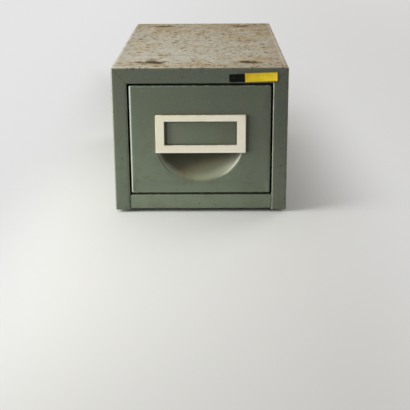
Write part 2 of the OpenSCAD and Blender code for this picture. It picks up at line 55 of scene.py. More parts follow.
MM = 0.001
camera = bpy.data.objects.new("camera", bpy.data.cameras.new("camera"))
scene.collection.objects.link(camera)
scene.camera = camera
camera.data.lens = 80.43
camera.data.sensor_width = 36
camera.data.clip_end = 60
camera_place = Vector((13.501, -1009.809, 292.094)) * MM
camera_yaw, camera_down, camera_roll = -0.0110, 0.3224, -0.0065
ahead = Vector((sin(camera_yaw) * cos(camera_down), cos(camera_yaw) * cos(camera_down), -sin(camera_down)))
level = Vector((cos(camera_yaw), -sin(camera_yaw), 0))
over = level.cross(ahead)
camera_axes = (cos(camera_roll) * level + sin(camera_roll) * over,
               cos(camera_roll) * over - sin(camera_roll) * level, -ahead)
camera.matrix_world = Matrix.Translation(camera_place) @ Matrix(camera_axes).transposed().to_4x4()
scene.view_settings.view_transform = "Standard"

# ---- Ground and light ----
# A wide sheet of pale paper, a large soft lamp near the left of the front, a weaker one
# at the rear right, a high one over the cabinet, and an even pale surround.


class Nodes:
    """A node tree written as sums, of plain numbers and of other nodes' sockets."""

    def __init__(self, tree):
        self.tree = tree
        tree.nodes.clear()

    def put(self, value, socket):
        if isinstance(value, bpy.types.NodeSocket):
            self.tree.links.new(value, socket)
        else:
            socket.default_value = value

    def add(self, kind, inputs=None, **settings):
        node = self.tree.nodes.new(kind)
        for key, value in settings.items():
            setattr(node, key, value)
        for key, value in (inputs or {}).items():
            self.put(value, node.inputs[key])
        return node

    def math(self, operation, *values):
        """The operation on one value, or on each further value and the result so far."""
        total = values[0]
        for value in values[1:] or (0.0,):
            total = self.add("ShaderNodeMath", {0: total, 1: value}, operation=operation).outputs[0]
        return total

    def times(self, *factors):
        return self.math("MULTIPLY", *factors)

    def plus(self, *terms):
        return self.math("ADD", *terms)

    def either(self, *masks):
        return self.math("MAXIMUM", *masks)

    def less(self, a, b):
        return self.math("SUBTRACT", a, b)

    def off(self, value, middle=0.0):
        """How far value is from middle."""
        return self.math("ABSOLUTE", self.less(value, middle))

    def slant(self, a, b):
        """The long side of the right angle that a and b make."""
        return self.math("SQRT", self.plus(self.times(a, a), self.times(b, b)))

    def seen(self):
        """1 for rays from the camera, also by way of a shine or of something clear."""
        path = self.add("ShaderNodeLightPath").outputs
        return self.either(*(path[f"Is {kind} Ray"] for kind in ("Camera", "Glossy", "Transmission")))


class Finish(Nodes):
    """A surface finish. Places and lengths are in millimetres on the piece."""

    def __init__(self, name):
        self.material = bpy.data.materials.new(name)
        self.material.use_nodes = True
        super().__init__(self.material.node_tree)
        self.shader = self.add("ShaderNodeBsdfPrincipled")
        self.out = self.add("ShaderNodeOutputMaterial", {"Surface": self.shader.outputs[0]})
        place = self.add("ShaderNodeTexCoord").outputs["Object"]
        self.place = self.add("ShaderNodeVectorMath", {0: place, "Scale": 1000.0},
                              operation="SCALE").outputs[0]
        self.x, self.y, self.z = self.add("ShaderNodeSeparateXYZ", {0: self.place}).outputs

    def band(self, value, low, high, start=0.0, end=1.0):
        """Runs smoothly from start to end while value goes from low to high. low may be the
        larger of the two."""
        return self.add("ShaderNodeMapRange",
                        {"Value": value, "From Min": low, "From Max": high, "To Min": start, "To Max": end},
                        interpolation_type="SMOOTHSTEP").outputs[0]

    def near(self, value, middle, half):
        """1 where value is at middle, down to 0 at half on both sides."""
        return self.band(self.off(value, middle), half, 0.0)

    def moved(self, stretch=(1, 1, 1), seed=0):
        shift = (seed * 173.1, seed * 57.7, seed * 91.3)
        inputs = {"Vector": self.place, "Location": shift, "Scale": [1 / s for s in stretch]}
        return self.add("ShaderNodeMapping", inputs).outputs[0]

    def noise(self, size, detail=3.0, rough=0.55, twist=0.0, stretch=(1, 1, 1), seed=0):
        return self.add("ShaderNodeTexNoise",
                        {"Vector": self.moved(stretch, seed), "Scale": 1 / size, "Detail": detail,
                         "Roughness": rough, "Distortion": twist}).outputs["Fac"]

    def spots(self, pitch, share, radius, soft=0.5, stretch=(1, 1, 1), seed=0, flat=False, ragged=0.0):
        """Spots, one to a cell of the given pitch, in that share of the cells. The cells of a
        flat one lie in the XY plane, so that a level sheet shows all of its spots."""
        cells = self.add("ShaderNodeTexVoronoi",
                         {"Vector": self.moved(stretch, seed), "Scale": 1 / pitch, "Randomness": 1.0},
                         voronoi_dimensions="2D" if flat else "3D")
        chance = self.add("ShaderNodeSeparateColor", {0: cells.outputs["Color"]}).outputs
        size = self.band(chance[1], 0.0, 1.0, 0.35, 1.0)
        edge = self.math("DIVIDE", self.times(cells.outputs["Distance"], pitch / radius), size)
        if ragged:
            uneven = self.less(self.noise(radius * 0.9, 3, 0.6, seed=seed + 0.5), 0.5)
            edge = self.plus(edge, self.times(uneven, 4 * ragged))
        return self.times(self.math("LESS_THAN", chance[0], share), self.band(edge, 1.0, 1 - soft))

    def mix(self, share, a, b, blend="MIX"):
        """Colour a where share is 0 and b where it is 1."""
        return self.add("ShaderNodeMix", {0: share, 6: a, 7: b},
                        data_type="RGBA", blend_type=blend).outputs[2]

    def coats(self, colour, *coats):
        """Lays coats over a colour, each given as its mask, its strength and its tone."""
        for mask, strength, tone in coats:
            tone = tone if isinstance(tone, bpy.types.NodeSocket) else tint(*tone)
            colour = self.mix(self.times(mask, strength), colour, tone)
        return colour

    def surface(self, colour, rough, relief=None, metal=0.0, **fixed):
        """Sets the shader. relief is a height in millimetres; fixed are plain numbers."""
        inputs = {"Base Color": colour, "Roughness": rough, "Metallic": metal}
        if relief is not None:
            inputs["Normal"] = self.add("ShaderNodeBump", {"Height": relief, "Distance": MM,
                                                           "Strength": 1.0}).outputs[0]
        inputs.update((key.replace("_", " "), value) for key, value in fixed.items())
        for key, value in inputs.items():
            self.put(value, self.shader.inputs[key])
        return self.material


def tint(r, g, b):
    """A colour in 0 to 255 as the shader takes it."""
    return tuple(c / 255 / 12.92 if c <= 10 else ((c / 255 + 0.055) / 1.055) ** 2.4
                 for c in (r, g, b)) + (1.0,)


def add_piece(name, mesh, *materials):
    piece = bpy.data.objects.new(name, mesh)
    scene.collection.objects.link(piece)
    for material in materials:
        mesh.materials.append(material)
    return piece


paper_tone = tint(222, 221, 219)
backdrop_left, backdrop_right, backdrop_far = tint(229, 229, 229), tint(211, 210, 209), tint(218, 217, 216)
ground_mesh = bpy.data.meshes.new("ground")
ground_bm = bmesh.new()
bmesh.ops.create_circle(ground_bm, cap_ends=True, radius=9.0, segments=96)
ground_bm.to_mesh(ground_mesh)
ground_bm.free()

paper = Finish("paper")
# near the cabinet the paper takes its shade; further off it fades into the even backdrop
sideways = paper.band(paper.off(paper.x), 88, 225)
behind = paper.band(paper.y, 240, 700)
far_off = paper.band(paper.slant(paper.x, paper.y), 560, 1100)
backdrop_tone = paper.mix(
    paper.band(paper.x, -420, 420), backdrop_left,
    paper.mix(paper.band(paper.y, 300, 2600), backdrop_right, backdrop_far))
glow = paper.add("ShaderNodeEmission", {"Color": backdrop_tone, "Strength": 1.0})
paper.surface(paper_tone, 0.85)
fade = paper.times(paper.either(behind, far_off, sideways), paper.seen())
paper_mix = paper.add("ShaderNodeMixShader", {0: fade, 1: paper.shader.outputs[0], 2: glow.outputs[0]})
paper.put(paper_mix.outputs[0], paper.out.inputs["Surface"])
ground = add_piece("ground", ground_mesh, paper.material)


def soft_lamp(name, place, aim, size, watts, tone):
    lamp = bpy.data.lights.new(name, "AREA")
    lamp.shape = "RECTANGLE"
    lamp.size, lamp.size_y = size
    lamp.energy = watts
    lamp.color = tone
    holder = bpy.data.objects.new(name, lamp)
    scene.collection.objects.link(holder)
    turn = (Vector(aim) - Vector(place)).to_track_quat("-Z", "Y").to_matrix().to_4x4()
    holder.matrix_world = Matrix.Translation(place) @ turn
    holder.visible_camera = False


# these places and sizes are in metres
soft_lamp("left_lamp", (-0.65, -0.32, 0.30), (0.0, -0.14, 0.08), (0.4, 0.5), 7.6, (0.985, 1.0, 0.975))
soft_lamp("rear_lamp", (0.75, 0.62, 0.42), (0.06, 0.05, 0.07), (0.6, 0.5), 3.6, (1.0, 0.99, 0.97))
soft_lamp("high_lamp", (-0.15, 0.05, 1.35), (0.0, 0.0, 0.1), (1.3, 1.3), 4.3, (1.0, 0.99, 0.96))

# the surround lights the piece weakly, and shows as an even pale grey
surround = bpy.data.worlds.new("surround")
surround.use_nodes = True
scene.world = surround
sky = Nodes(surround.node_tree)
sky_light = sky.add("ShaderNodeBackground", {"Color": (1.0, 0.985, 0.96, 1.0), "Strength": 0.24})
sky_shown = sky.add("ShaderNodeBackground", {"Color": tint(221, 220, 221), "Strength": 1.0})
sky_mix = sky.add("ShaderNodeMixShader", {0: sky.seen(), 1: sky_light.outputs[0], 2: sky_shown.outputs[0]})
sky.add("ShaderNodeOutputWorld", {"Surface": sky_mix.outputs[0]})

# ---- Casing ----
# One sheet of 0.9 mm steel bent over the sides and top, with flanges turned in round the
# opening and along the bottom. Stoved in grey-green enamel, which has worn and rusted on top.

half_w, front, high, low = 83.65, -157.5, 142.75, 2.4
casing_back = 160.5
open_w, open_top = 69.25, 127.45
# where the badge is stuck on later
badge_x, badge_z, badge_tilt = 50.45, 133.203, 1.9
badge_w, badge_h = 45.8, 9.2
green = (91, 100.5, 83)


def shade(colour, by):
    return tuple(c * by for c in colour)


def own_surface(node):
    """A node's own surface, its corners merged and its flat faces whole."""
    bm = bmesh.new()
    bm.from_mesh(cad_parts[node].data)
    for layers in (bm.loops.layers.uv, bm.loops.layers.float_color, bm.loops.layers.color):
        for layer in list(layers):
            layers.remove(layer)
    bmesh.ops.remove_doubles(bm, verts=bm.verts, dist=2e-6)
    bmesh.ops.dissolve_limit(bm, angle_limit=radians(0.4), verts=bm.verts, edges=bm.edges)
    return bm


def plain_mesh(name, bm, smooth=38):
    """Turns a bmesh into a smooth-shaded mesh whose edges over that angle stay sharp."""
    mesh = bpy.data.meshes.new(name)
    bm.to_mesh(mesh)
    bm.free()
    if "custom_normal" in mesh.attributes:
        mesh.attributes.remove(mesh.attributes["custom_normal"])
    mesh.materials.clear()
    mesh.polygons.foreach_set("use_smooth", [True] * len(mesh.polygons))
    mesh.set_sharp_from_angle(angle=radians(smooth))
    return mesh


def settle(piece):
    """Makes the piece's modifiers part of its mesh."""
    bpy.context.view_layer.update()
    mesh = bpy.data.meshes.new_from_object(piece.evaluated_get(bpy.context.evaluated_depsgraph_get()))
    mesh.name = piece.name
    piece.modifiers.clear()
    piece.data = mesh
    return piece


def ease_edges(piece, width, segments=2, angle=50):
    """Rounds the cut edges, as deburring and paint do."""
    bevel = piece.modifiers.new("eased", "BEVEL")
    bevel.width = width * MM
    bevel.segments = segments
    bevel.limit_method = "ANGLE"
    bevel.angle_limit = radians(angle)
    bevel.use_clamp_overlap = True
    bevel.harden_normals = False
    return settle(piece)


class Tree(Nodes):
    """A geometry node tree with named inputs."""

    def __init__(self, name, **sizes):
        super().__init__(bpy.data.node_groups.new(name, "GeometryNodeTree"))
        for way in ("INPUT", "OUTPUT"):
            self.tree.interface.new_socket("Geometry", in_out=way, socket_type="NodeSocketGeometry")
        self.sizes = sizes
        self.names = {}
        for key, value in sizes.items():
            kind = "NodeSocketInt" if isinstance(value, int) else "NodeSocketFloat"
            socket = self.tree.interface.new_socket(key.replace("_", " "), in_out="INPUT", socket_type=kind)
            self.names[key] = socket.identifier
        self.source = self.add("NodeGroupInput")
        self.end = self.add("NodeGroupOutput")

    def __getitem__(self, key):
        return self.source.outputs[key.replace("_", " ")]

    def close(self, geometry, material):
        """Ends the tree in real geometry with its material."""
        real = self.add("GeometryNodeRealizeInstances", {0: geometry})
        coated = self.add("GeometryNodeSetMaterial", {"Geometry": real.outputs[0], "Material": material})
        self.put(coated.outputs[0], self.end.inputs[0])

    def apply(self, piece):
        modifier = piece.modifiers.new(self.tree.name, "NODES")
        modifier.node_group = self.tree
        for key, identifier in self.names.items():
            modifier[identifier] = self.sizes[key]
        return settle(piece)


def enamel(f, base, seed=0, dirt=1.0):
    """Grey-green stoved enamel with a little dirt and painted light. Returns its colour, roughness and
    relief.
    """
    cloud = f.noise(60, 2, seed=seed + 1)
    mottle = f.noise(9, 5, 0.6, seed=seed + 2)
    grain = f.noise(1.5, 3, 0.6, seed=seed + 3)
    fly = f.spots(7.5, 0.7, 1.25, 0.6, seed=seed + 4)
    pale = f.spots(15, 0.4, 0.7, 0.6, seed=seed + 5)
    scratch = f.times(f.band(f.noise(0.9, 1, stretch=(30, 1, 1.6), twist=0.4, seed=seed + 6), 0.75, 0.78),
                      f.band(f.noise(34, 1, seed=seed + 7), 0.5, 0.62))
    # painted light: lighter towards the foot and the left where the light falls more, darker to the right,
    # with a random cloud of tone over it
    painted_light_and_cloud = f.plus(f.band(f.z, 142, 5, 0.04, 0.94), f.band(cloud, 0.3, 0.7, 0.0, 0.15),
                     f.band(f.x, -60, 84, 0.08, -0.22))
    stained = (base[0] * 0.98, base[1] * 0.92, base[2] * 0.76)
    colour = f.coats(
        tint(*shade(base, 0.85)),
        (painted_light_and_cloud, 1.0, shade(base, 1.165)),
        (f.band(mottle, 0.46, 0.72), 0.48 * dirt, stained),
        (f.band(grain, 0.56, 0.72), 0.14, (70, 68, 52)),
        (f.band(grain, 0.44, 0.28), 0.16, (140, 150, 132)),
        (fly, 0.8, (52, 46, 30)),
        (pale, 0.5, (160, 158, 138)),
        (scratch, 0.2, (150, 154, 138)))
    rough = f.plus(f.band(mottle, 0.3, 0.7, 0.31, 0.41), f.times(fly, 0.25))
    relief = f.plus(f.times(grain, 0.012), f.times(f.noise(26, 1, seed=seed + 8), 0.10),
                    f.times(fly, 0.03), f.times(scratch, -0.01))
    return colour, rough, relief


def worn_top(f):
    """Enamel rubbed through to grey metal and blooming with rust."""
    along = (1, 1.7, 1)
    cloud = f.noise(34, 3, 0.5, seed=11)
    haze = f.noise(11, 4, 0.6, stretch=along, seed=12)
    small = f.noise(3.6, 6, 0.72, twist=0.3, stretch=along, seed=13)
    fine = f.noise(1.3, 3, 0.65, seed=14)
    # rustier towards the back, the right and the front edge
    weight = f.plus(f.band(f.y, -150, 165, -0.04, 0.04), f.band(f.x, -60, 83, -0.02, 0.04),
                    f.band(f.y, -120, -152, 0.0, 0.10), f.band(cloud, 0.3, 0.7, -0.015, 0.015))
    brown = f.band(f.plus(haze, weight), 0.40, 0.66)
    mottle = f.band(f.plus(small, f.times(weight, 0.6), f.times(brown, 0.05)), 0.44, 0.62)
    pale = f.times(f.band(f.noise(5, 5, 0.7, stretch=(1.8, 1.6, 1), seed=17), 0.54, 0.68),
                   f.band(brown, 0.0, 1.0, 0.7, 0.3))
    rusty = f.band(f.plus(haze, f.times(weight, 1.2)), 0.36, 0.56, 0.35, 1.0)
    wide = (1.1, 1.5, 1)
    bloom = f.times(f.spots(11, 0.5, 4.2, 0.9, stretch=wide, seed=16, flat=True, ragged=0.5), rusty)
    speck = f.band(f.plus(small, f.times(weight, 0.45), f.times(brown, 0.02)), 0.61, 0.67)
    dots = f.either(f.times(f.spots(7.5, 0.4, 2.3, 0.8, stretch=wide, seed=15, flat=True, ragged=0.5), 0.85),
                    f.times(f.spots(3.6, 0.2, 1.0, 0.8, stretch=(1, 1.5, 1), seed=19, flat=True), 0.8))
    dots = f.times(dots, rusty)
    # marks left by the feet of a cabinet that stood on this one, each with its strength
    wander = f.times(f.less(f.noise(2.8, 5, 0.75, seed=18), 0.5), 9)
    drag = f.times(f.less(f.noise(9, 2, 0.5, seed=20), 0.5), 13)
    marks = []
    for mark_x, mark_y, strength in ((-46.65, -129, 1.0), (46.65, -129, 0.86),
                                     (-46.65, 134, 0.8), (46.65, 134, 0.8)):
        off_middle = f.slant(f.times(f.less(f.x, mark_x), 0.42), f.times(f.less(f.y, mark_y), 0.62))
        marks.append(f.times(f.band(f.plus(off_middle, wander, drag), 8.5, 0.5), strength))
    marks = f.either(*marks)
    core = f.mix(f.band(f.y, -60, 60), tint(54, 41, 14), tint(82, 64, 26))
    # rust that has run back from the left front one
    run = f.times(f.near(f.plus(f.x, wander), -47.5, 10), f.band(f.y, -136, -128), f.band(f.y, -98, -112),
                  f.band(f.noise(4.2, 4, 0.7, stretch=(1, 1.6, 1), seed=32), 0.36, 0.54))
    colour = f.coats(
        tint(189, 185, 171),
        (f.band(f.plus(cloud, weight), 0.36, 0.64), 1.0, (188, 177, 153)),
        (brown, 0.36, (168, 147, 110)),
        (mottle, 0.42, (148, 126, 88)),
        (pale, 1.0, (205, 203, 193)),
        (bloom, 0.9, (120, 92, 50)),
        (speck, 0.6, (104, 80, 46)),
        (dots, 1.0, (80, 58, 30)),
        # browner towards the rear and the right, greyer along the left
        (f.band(f.y, 60, 155), 0.06, (140, 112, 60)),
        (f.band(f.x, 56, 76), 0.16, (128, 98, 50)),
        (f.band(f.x, -60, -77), 0.13, (112, 98, 82)),
        (run, 0.75, (120, 92, 50)),
        (f.band(marks, 0.0, 0.5), 0.7, (124, 98, 50)),
        (f.band(marks, 0.3, 0.85), 0.92, core))
    rust = f.either(f.times(brown, 0.6), mottle, speck, dots, bloom, marks, run)
    rough = f.plus(f.band(rust, 0.0, 1.0, 0.55, 0.9), f.times(fine, 0.06))
    relief = f.plus(f.times(rust, small, 0.10), f.times(fine, 0.03), f.times(cloud, 0.15))
    return colour, rough, relief


def weld_marks(f, along, start, pitch, across, middle):
    """Shallow round marks that spot welds leave, in a row along one axis."""
    step = f.less(f.math("FLOORED_MODULO", f.less(along, start - pitch / 2), pitch), pitch / 2)
    return f.band(f.slant(step, f.less(across, middle)), 3.1, 1.9)


def casing_finish(name, gloss):
    """The casing's enamel with its wear. gloss is the shine of what is left of it."""
    p = Finish(name)
    aside = p.off(p.x)
    paint_colour, paint_rough, paint_relief = enamel(p, shade(green, 0.92))
    # the side flanges are a little duller than the rest
    paint_colour = p.coats(paint_colour, (p.band(aside, 60, 72), 0.075, (54, 57, 42)))
    top_colour, top_rough, top_relief = worn_top(p)
    on_top = p.band(p.z, high - 0.75, high - 0.15)
    on_face = p.band(p.y, front + 0.5, front + 0.2)
    outside = p.either(p.band(aside, half_w - 0.5, half_w - 0.2), on_face, on_top)
    # paint chipped off the folds
    at_side = p.band(aside, half_w - 1.7, half_w)
    at_front = p.band(p.y, front + 1.7, front)
    at_top = p.band(p.z, high - 1.7, high)
    at_rear = p.band(p.y, casing_back - 1.2, casing_back - 0.1)
    at_foot = p.band(p.z, low + 1.7, low + 0.2)
    folds = p.plus(p.times(at_side, at_front), p.times(at_side, at_top), p.times(at_front, at_top),
                   p.times(at_side, at_rear), p.times(at_top, at_rear), p.times(at_side, at_foot))
    chip_noise = p.noise(3.0, 5, 0.65, stretch=(1.4, 1.4, 1.4), seed=21)
    chips = p.times(outside, p.band(p.plus(folds, p.times(chip_noise, 1.1)), 0.86, 1.06))
    bare = p.mix(p.band(p.noise(1.6, 3, seed=22), 0.42, 0.62), tint(178, 172, 150), tint(112, 84, 54))
    # rust creeping out of the edges, over the sides and down from the top
    creep = p.either(p.band(aside, half_w - 9, half_w), p.band(p.y, front, front + 7, 0.35, 0.0), at_top)
    rust_specks = p.times(outside, p.spots(3.4, 0.34, 0.75, 0.6, seed=23),
                          p.band(p.plus(p.noise(24, 3, seed=24), p.times(creep, 0.05)), 0.53, 0.66))
    # light lines where the top is rubbed along its front, left and right
    front_line = p.times(p.near(p.y, front + 2.4, 3.4),
                         p.band(p.noise(4, 4, 0.7, stretch=(1.6, 1, 1), seed=36), 0.38, 0.56, 0.15, 1.0))
    light_line = p.times(
        on_top, p.band(p.noise(6, 3, seed=25), 0.3, 0.55, 0.35, 1.0),
        p.either(p.times(p.near(p.x, half_w - 3.4, 1.4), 0.8),
                 p.near(p.x, 2.2 - half_w, 1.2), front_line))
    # dark chips along the front fold of the top
    fold_chips = p.times(p.band(p.y, front + 3.0, front + 1.2), p.band(p.z, high - 2.6, high - 1.4),
                         p.band(p.noise(4.5, 4, 0.7, stretch=(1, 2, 2), seed=31), 0.52, 0.6))
    # the left fold is rubbed down to the pale primer over most of its height, and painted pale as a highlight
    # of the fold
    on_fold = p.band(p.y, front + 1.8, front + 1.2)
    left_rub_and_highlight = p.times(p.band(p.x, 1.3 - half_w, 0.5 - half_w), on_fold,
                       p.band(p.noise(12, 4, 0.6, seed=28), 0.3, 0.52, 0.5, 1.0))
    right_rub = p.times(p.band(p.x, half_w - 1.3, half_w - 0.4), on_fold,
                        p.band(p.noise(7, 4, 0.65, seed=29), 0.42, 0.58))
    # the side flanges' inner edges carry a painted highlight of their folds, stronger on the right, and the
    # right one is chipped high up
    painted_edge_highlight = p.times(
        p.band(aside, open_w + 0.85, open_w + 0.1), p.band(aside, open_w - 0.6, open_w - 0.2),
        p.band(p.y, front + 2.8, front + 0.8), p.band(p.x, -1, 1, 0.6, 1.0),
        p.band(p.z, open_top + 0.6, open_top - 0.4),
        p.band(p.noise(8, 4, 0.6, seed=27), 0.3, 0.5, 0.35, 1.0))
    edge_chips = p.times(
        p.near(p.x, open_w + 0.05, 0.8), p.band(p.y, front + 1.2, front + 0.4),
        p.band(p.z, 104, 114), p.band(p.z, open_top - 2, open_top - 8),
        p.band(p.noise(2.2, 4, 0.7, seed=26), 0.42, 0.5))
    # dirt in the joint between the top and side flanges
    mitre = p.off(p.times(p.less(aside, open_w + 1.6), 0.72), p.times(p.less(p.z, open_top + 1.6), 0.69))
    mitre = p.times(p.band(mitre, 0.55, 0.15), on_face, p.band(aside, open_w + 0.8, open_w + 1.8),
                    p.band(p.z, open_top + 0.8, open_top + 1.8))
    # dirt that a cloth leaves round the badge
    along = p.less(p.x, badge_x)
    up = p.less(p.z, p.plus(badge_z, p.times(along, tan(radians(badge_tilt)))))
    past_badge = p.either(p.less(p.off(along), badge_w / 2), p.less(p.off(up), badge_h / 2))
    round_badge = p.times(p.band(past_badge, 3.4, 0.6), on_face, p.band(p.x, 30, 44),
                          p.band(p.noise(5, 3, seed=30), 0.25, 0.55, 0.5, 1.0))
    # shallow marks of the spot welds that hold the runners and the back panel
    welds = p.either(
        p.times(p.band(aside, half_w - 0.6, half_w - 0.3),
                p.either(weld_marks(p, p.y, -128, 48, p.z, 47.2),
                         weld_marks(p, p.z, 24, 31, p.y, casing_back - 7))),
        p.times(on_top, weld_marks(p, p.x, -60, 40, p.y, casing_back - 7)))
    colour = p.coats(
        p.mix(on_top, paint_colour, top_colour),
        (light_line, 0.75, (209, 206, 192)),
        (fold_chips, 0.85, (64, 52, 30)),
        (rust_specks, 0.8, (104, 76, 46)),
        (chips, 0.85, bare),
        (left_rub_and_highlight, 0.55, (158, 156, 132)),
        (right_rub, 0.6, (150, 138, 112)),
        (painted_edge_highlight, 0.8, (206, 210, 190)),
        (edge_chips, 1.0, (222, 214, 178)),
        (mitre, 0.24, (44, 44, 34)),
        (round_badge, 0.45, (46, 44, 24)))
    rough = p.mix(on_top, paint_rough, top_rough)
    rough = p.mix(p.either(chips, rust_specks), rough, (0.72, 0.72, 0.72, 1.0))
    relief = p.plus(p.times(p.less(1.0, on_top), paint_relief), p.times(on_top, top_relief),
                    p.times(rust_specks, 0.05), p.times(chips, -0.06), p.times(welds, -0.14))
    return p.surface(colour, rough, relief, Specular_IOR_Level=gloss)


casing = add_piece("casing_sheet", plain_mesh("casing_sheet", own_surface("casing_wrap"), 30),
                   casing_finish("worn_enamel", 0.62), casing_finish("worn_through_top", 0.18))
for face in casing.data.polygons:
    face.material_index = int(face.normal.z > 0.99 and face.center.z > (high - 0.3) * MM)
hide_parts("casing_wrap")
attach(casing, "casing")

# ---- Front rail and floor ----
# The floor is a flat sheet on the casing's bottom flanges. Its front is folded up and over
# into the rail under the drawer, and it is welded along the flanges.

rail_top = 18.0
rail_paint = Finish("rail_enamel")
p = rail_paint
# the rail and floor take a lighter copy of the green: painted light, for the stronger light low on the front
rail_colour, rail_rough, rail_relief = enamel(p, shade(green, 1.085), seed=30)
rail_rust = p.times(p.spots(3.2, 0.4, 0.7, 0.6, seed=33), p.band(p.z, low + 6.2, low + 1.2),
                    p.band(p.noise(14, 3, seed=34), 0.45, 0.6))
# a painted highlight along the rail's top fold, broken up by noise
rail_edge_highlight = p.times(p.near(p.z, rail_top - 0.2, 1.3), p.band(p.noise(4, 4, 0.65, seed=35), 0.5, 0.62))
# the joints with the side flanges and the ground are in shade
rail_joint = p.times(
    p.band(p.y, front + 1.9, front + 1.1),
    p.either(p.band(p.off(p.x), open_w - 1.35, open_w - 0.35),
             p.band(p.z, low + 3.0, low + 0.8, 0.0, 0.5)))
rail_colour = p.coats(
    rail_colour,
    (rail_rust, 0.8, (104, 74, 44)),
    (rail_edge_highlight, 0.5, (140, 146, 126)),
    # painted shade, darker towards the right end
    (p.band(p.x, 25, 60), 0.12, (56, 54, 40)),
    (rail_joint, 0.7, (42, 40, 28)))
rail_paint = p.surface(rail_colour, rail_rough, rail_relief, Specular_IOR_Level=0.62)

floor_pan = add_piece("floor_and_rail", plain_mesh("floor_and_rail", own_surface("base_pan"), 30), rail_paint)
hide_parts("base_pan")
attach(floor_pan, "casing")

# ---- Back panel ----
# A pan of the same sheet, its flanges turned forwards and spot-welded inside the casing's
# rear edge. It is enamelled with the casing.

back_paint = Finish("back_enamel")
p = back_paint
back_colour, back_rough, back_relief = enamel(p, shade(green, 0.98), seed=40)
back_rust = p.times(p.spots(4.4, 0.4, 0.9, 0.7, seed=43), p.band(p.noise(38, 3, seed=44), 0.5, 0.68))
back_paint = p.surface(
    p.coats(back_colour, (back_rust, 0.75, (108, 80, 50))), back_rough,
    p.plus(back_relief, p.times(back_rust, 0.05)), Specular_IOR_Level=0.62)
back_panel = add_piece("back_pan", plain_mesh("back_pan", own_surface("back_panel"), 30), back_paint)
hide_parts("back_panel")
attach(back_panel, "casing")

# ---- Runners ----
# Two open channels rolled from bright zinc-plated strip, spot-welded along the insides of
# the casing. A tab lanced up from each lower leg stops the drawer.


def zinc_plate(name, dull=0.0, seed=0):
    f = Finish(name)
    spangle = f.noise(4.5, 4, 0.6, seed=seed + 1)
    cloud = f.noise(28, 3, seed=seed + 2)
    rub = f.noise(1.2, 2, stretch=(1, 40, 1), seed=seed + 3)
    bloom = f.band(f.plus(f.noise(6, 4, 0.65, seed=seed + 4), dull), 0.64, 0.76)
    colour = f.coats(
        tint(168, 169, 166),
        (f.band(spangle, 0.3, 0.7), 1.0, (188, 188, 183)),
        (f.band(cloud, 0.45, 0.7), 0.6, (170, 164, 140)),
        (bloom, 0.7, (126, 104, 76)))
    rough = f.plus(f.band(spangle, 0.3, 0.7, 0.30, 0.42), f.times(rub, 0.12), f.times(bloom, 0.3))
    relief = f.plus(f.times(rub, 0.012), f.times(spangle, 0.02), f.times(bloom, 0.03))
    return f.surface(colour, rough, relief, f.band(bloom, 0.0, 1.0, 0.92, 0.25))


def own_piece(name, node, finish, edge, segments=2, angle=50):
    """A piece in a node's own surface, its cut edges rounded over the width of edge."""
    return ease_edges(add_piece(name, plain_mesh(name, own_surface(node)), finish), edge, segments, angle)


runner_zinc = zinc_plate("runner_zinc", 0.02, 50)
for side in ("left", "right"):
    runner = own_piece(f"runner_{side}_channel", f"runner_{side}", runner_zinc, 0.15)
    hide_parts(f"runner_{side}")
    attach(runner, "casing")

# ---- Feet and buffers ----
# Moulded rubber plugs. Four feet are pushed through the floor, and two buffers stop the
# drawer against the back panel; a head on the far side holds each one in.

foot_x, foot_front_y, foot_rear_y = 46.65, -128.5, 133.5
# radius and height round the foot, from the middle of its sole to the middle of its head
foot_outline = [
    (0, 0.6), (2.6, 0.6), (3.1, 0.42), (3.4, 0.1), (3.75, 0), (8.1, 0), (8.6, 0.12),
    (8.9, 0.4), (9, 0.85), (9, 2.75), (8.9, 3.15), (8.65, 3.3), (3.1, 3.3), (3.1, 4.22),
    (4.3, 4.22), (4.5, 4.4), (4.5, 5.2), (4.3, 5.45), (2.7, 6.45), (2.2, 6.6), (0, 6.6)]


def whole_corners(*corners):
    """A face's corners, each of them once."""
    return list(dict.fromkeys(corners))


def turned(outline, steps=48):
    """A closed solid of revolution round Z from (radius, height) pairs."""
    bm = bmesh.new()
    turns = [(cos(2 * pi * i / steps), sin(2 * pi * i / steps)) for i in range(steps)]
    rings = [[bm.verts.new((0, 0, z * MM))] * steps if r == 0
             else [bm.verts.new((r * MM * c, r * MM * s, z * MM)) for c, s in turns] for r, z in outline]
    for a, b in zip(rings, rings[1:]):
        for i in range(steps):
            j = (i + 1) % steps
            bm.faces.new(whole_corners(a[i], a[j], b[j], b[i]))
    bmesh.ops.recalc_face_normals(bm, faces=bm.faces)
    return bm


rubber = Finish("black_rubber")
f = rubber
bloom = f.noise(5, 4, 0.6, seed=61)
rubber = f.surface(
    f.mix(f.band(bloom, 0.4, 0.7), tint(30, 30, 29), tint(56, 54, 49)),
    f.band(bloom, 0.3, 0.7, 0.62, 0.8),
    f.plus(f.times(f.noise(0.8, 2, seed=62), 0.02), f.times(bloom, 0.03)),
    Specular_IOR_Level=0.35)

# sets the piece at the four corners (or, with no depth between them, at two)
corners_tree = Tree("set_at_corners", Side=foot_x * MM, Front=foot_front_y * MM, Rear=foot_rear_y * MM,
                    Height=0.0, Count=4)
t = corners_tree
index = t.add("GeometryNodeInputIndex").outputs[0]
across = t.times(t.less(t.times(t.math("MODULO", index, 2.0), 2.0), 1.0), t["Side"])
is_rear = t.math("GREATER_THAN", index, 1.5)
along = t.plus(t["Front"], t.times(is_rear, t.less(t["Rear"], t["Front"])))
corner = t.add("ShaderNodeCombineXYZ", {0: across, 1: along, 2: t["Height"]}).outputs[0]
points = t.add("GeometryNodePoints", {"Count": t["Count"], "Position": corner})
placed = t.add("GeometryNodeInstanceOnPoints", {"Points": points.outputs[0], "Instance": t["Geometry"]})
t.close(placed.outputs[0], rubber)
feet = add_piece("rubber_feet", plain_mesh("rubber_feet", turned(foot_outline)))
corners_tree.apply(feet)
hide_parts("foot_front_left", "foot_front_right", "foot_rear_left", "foot_rear_right")
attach(feet, "casing")

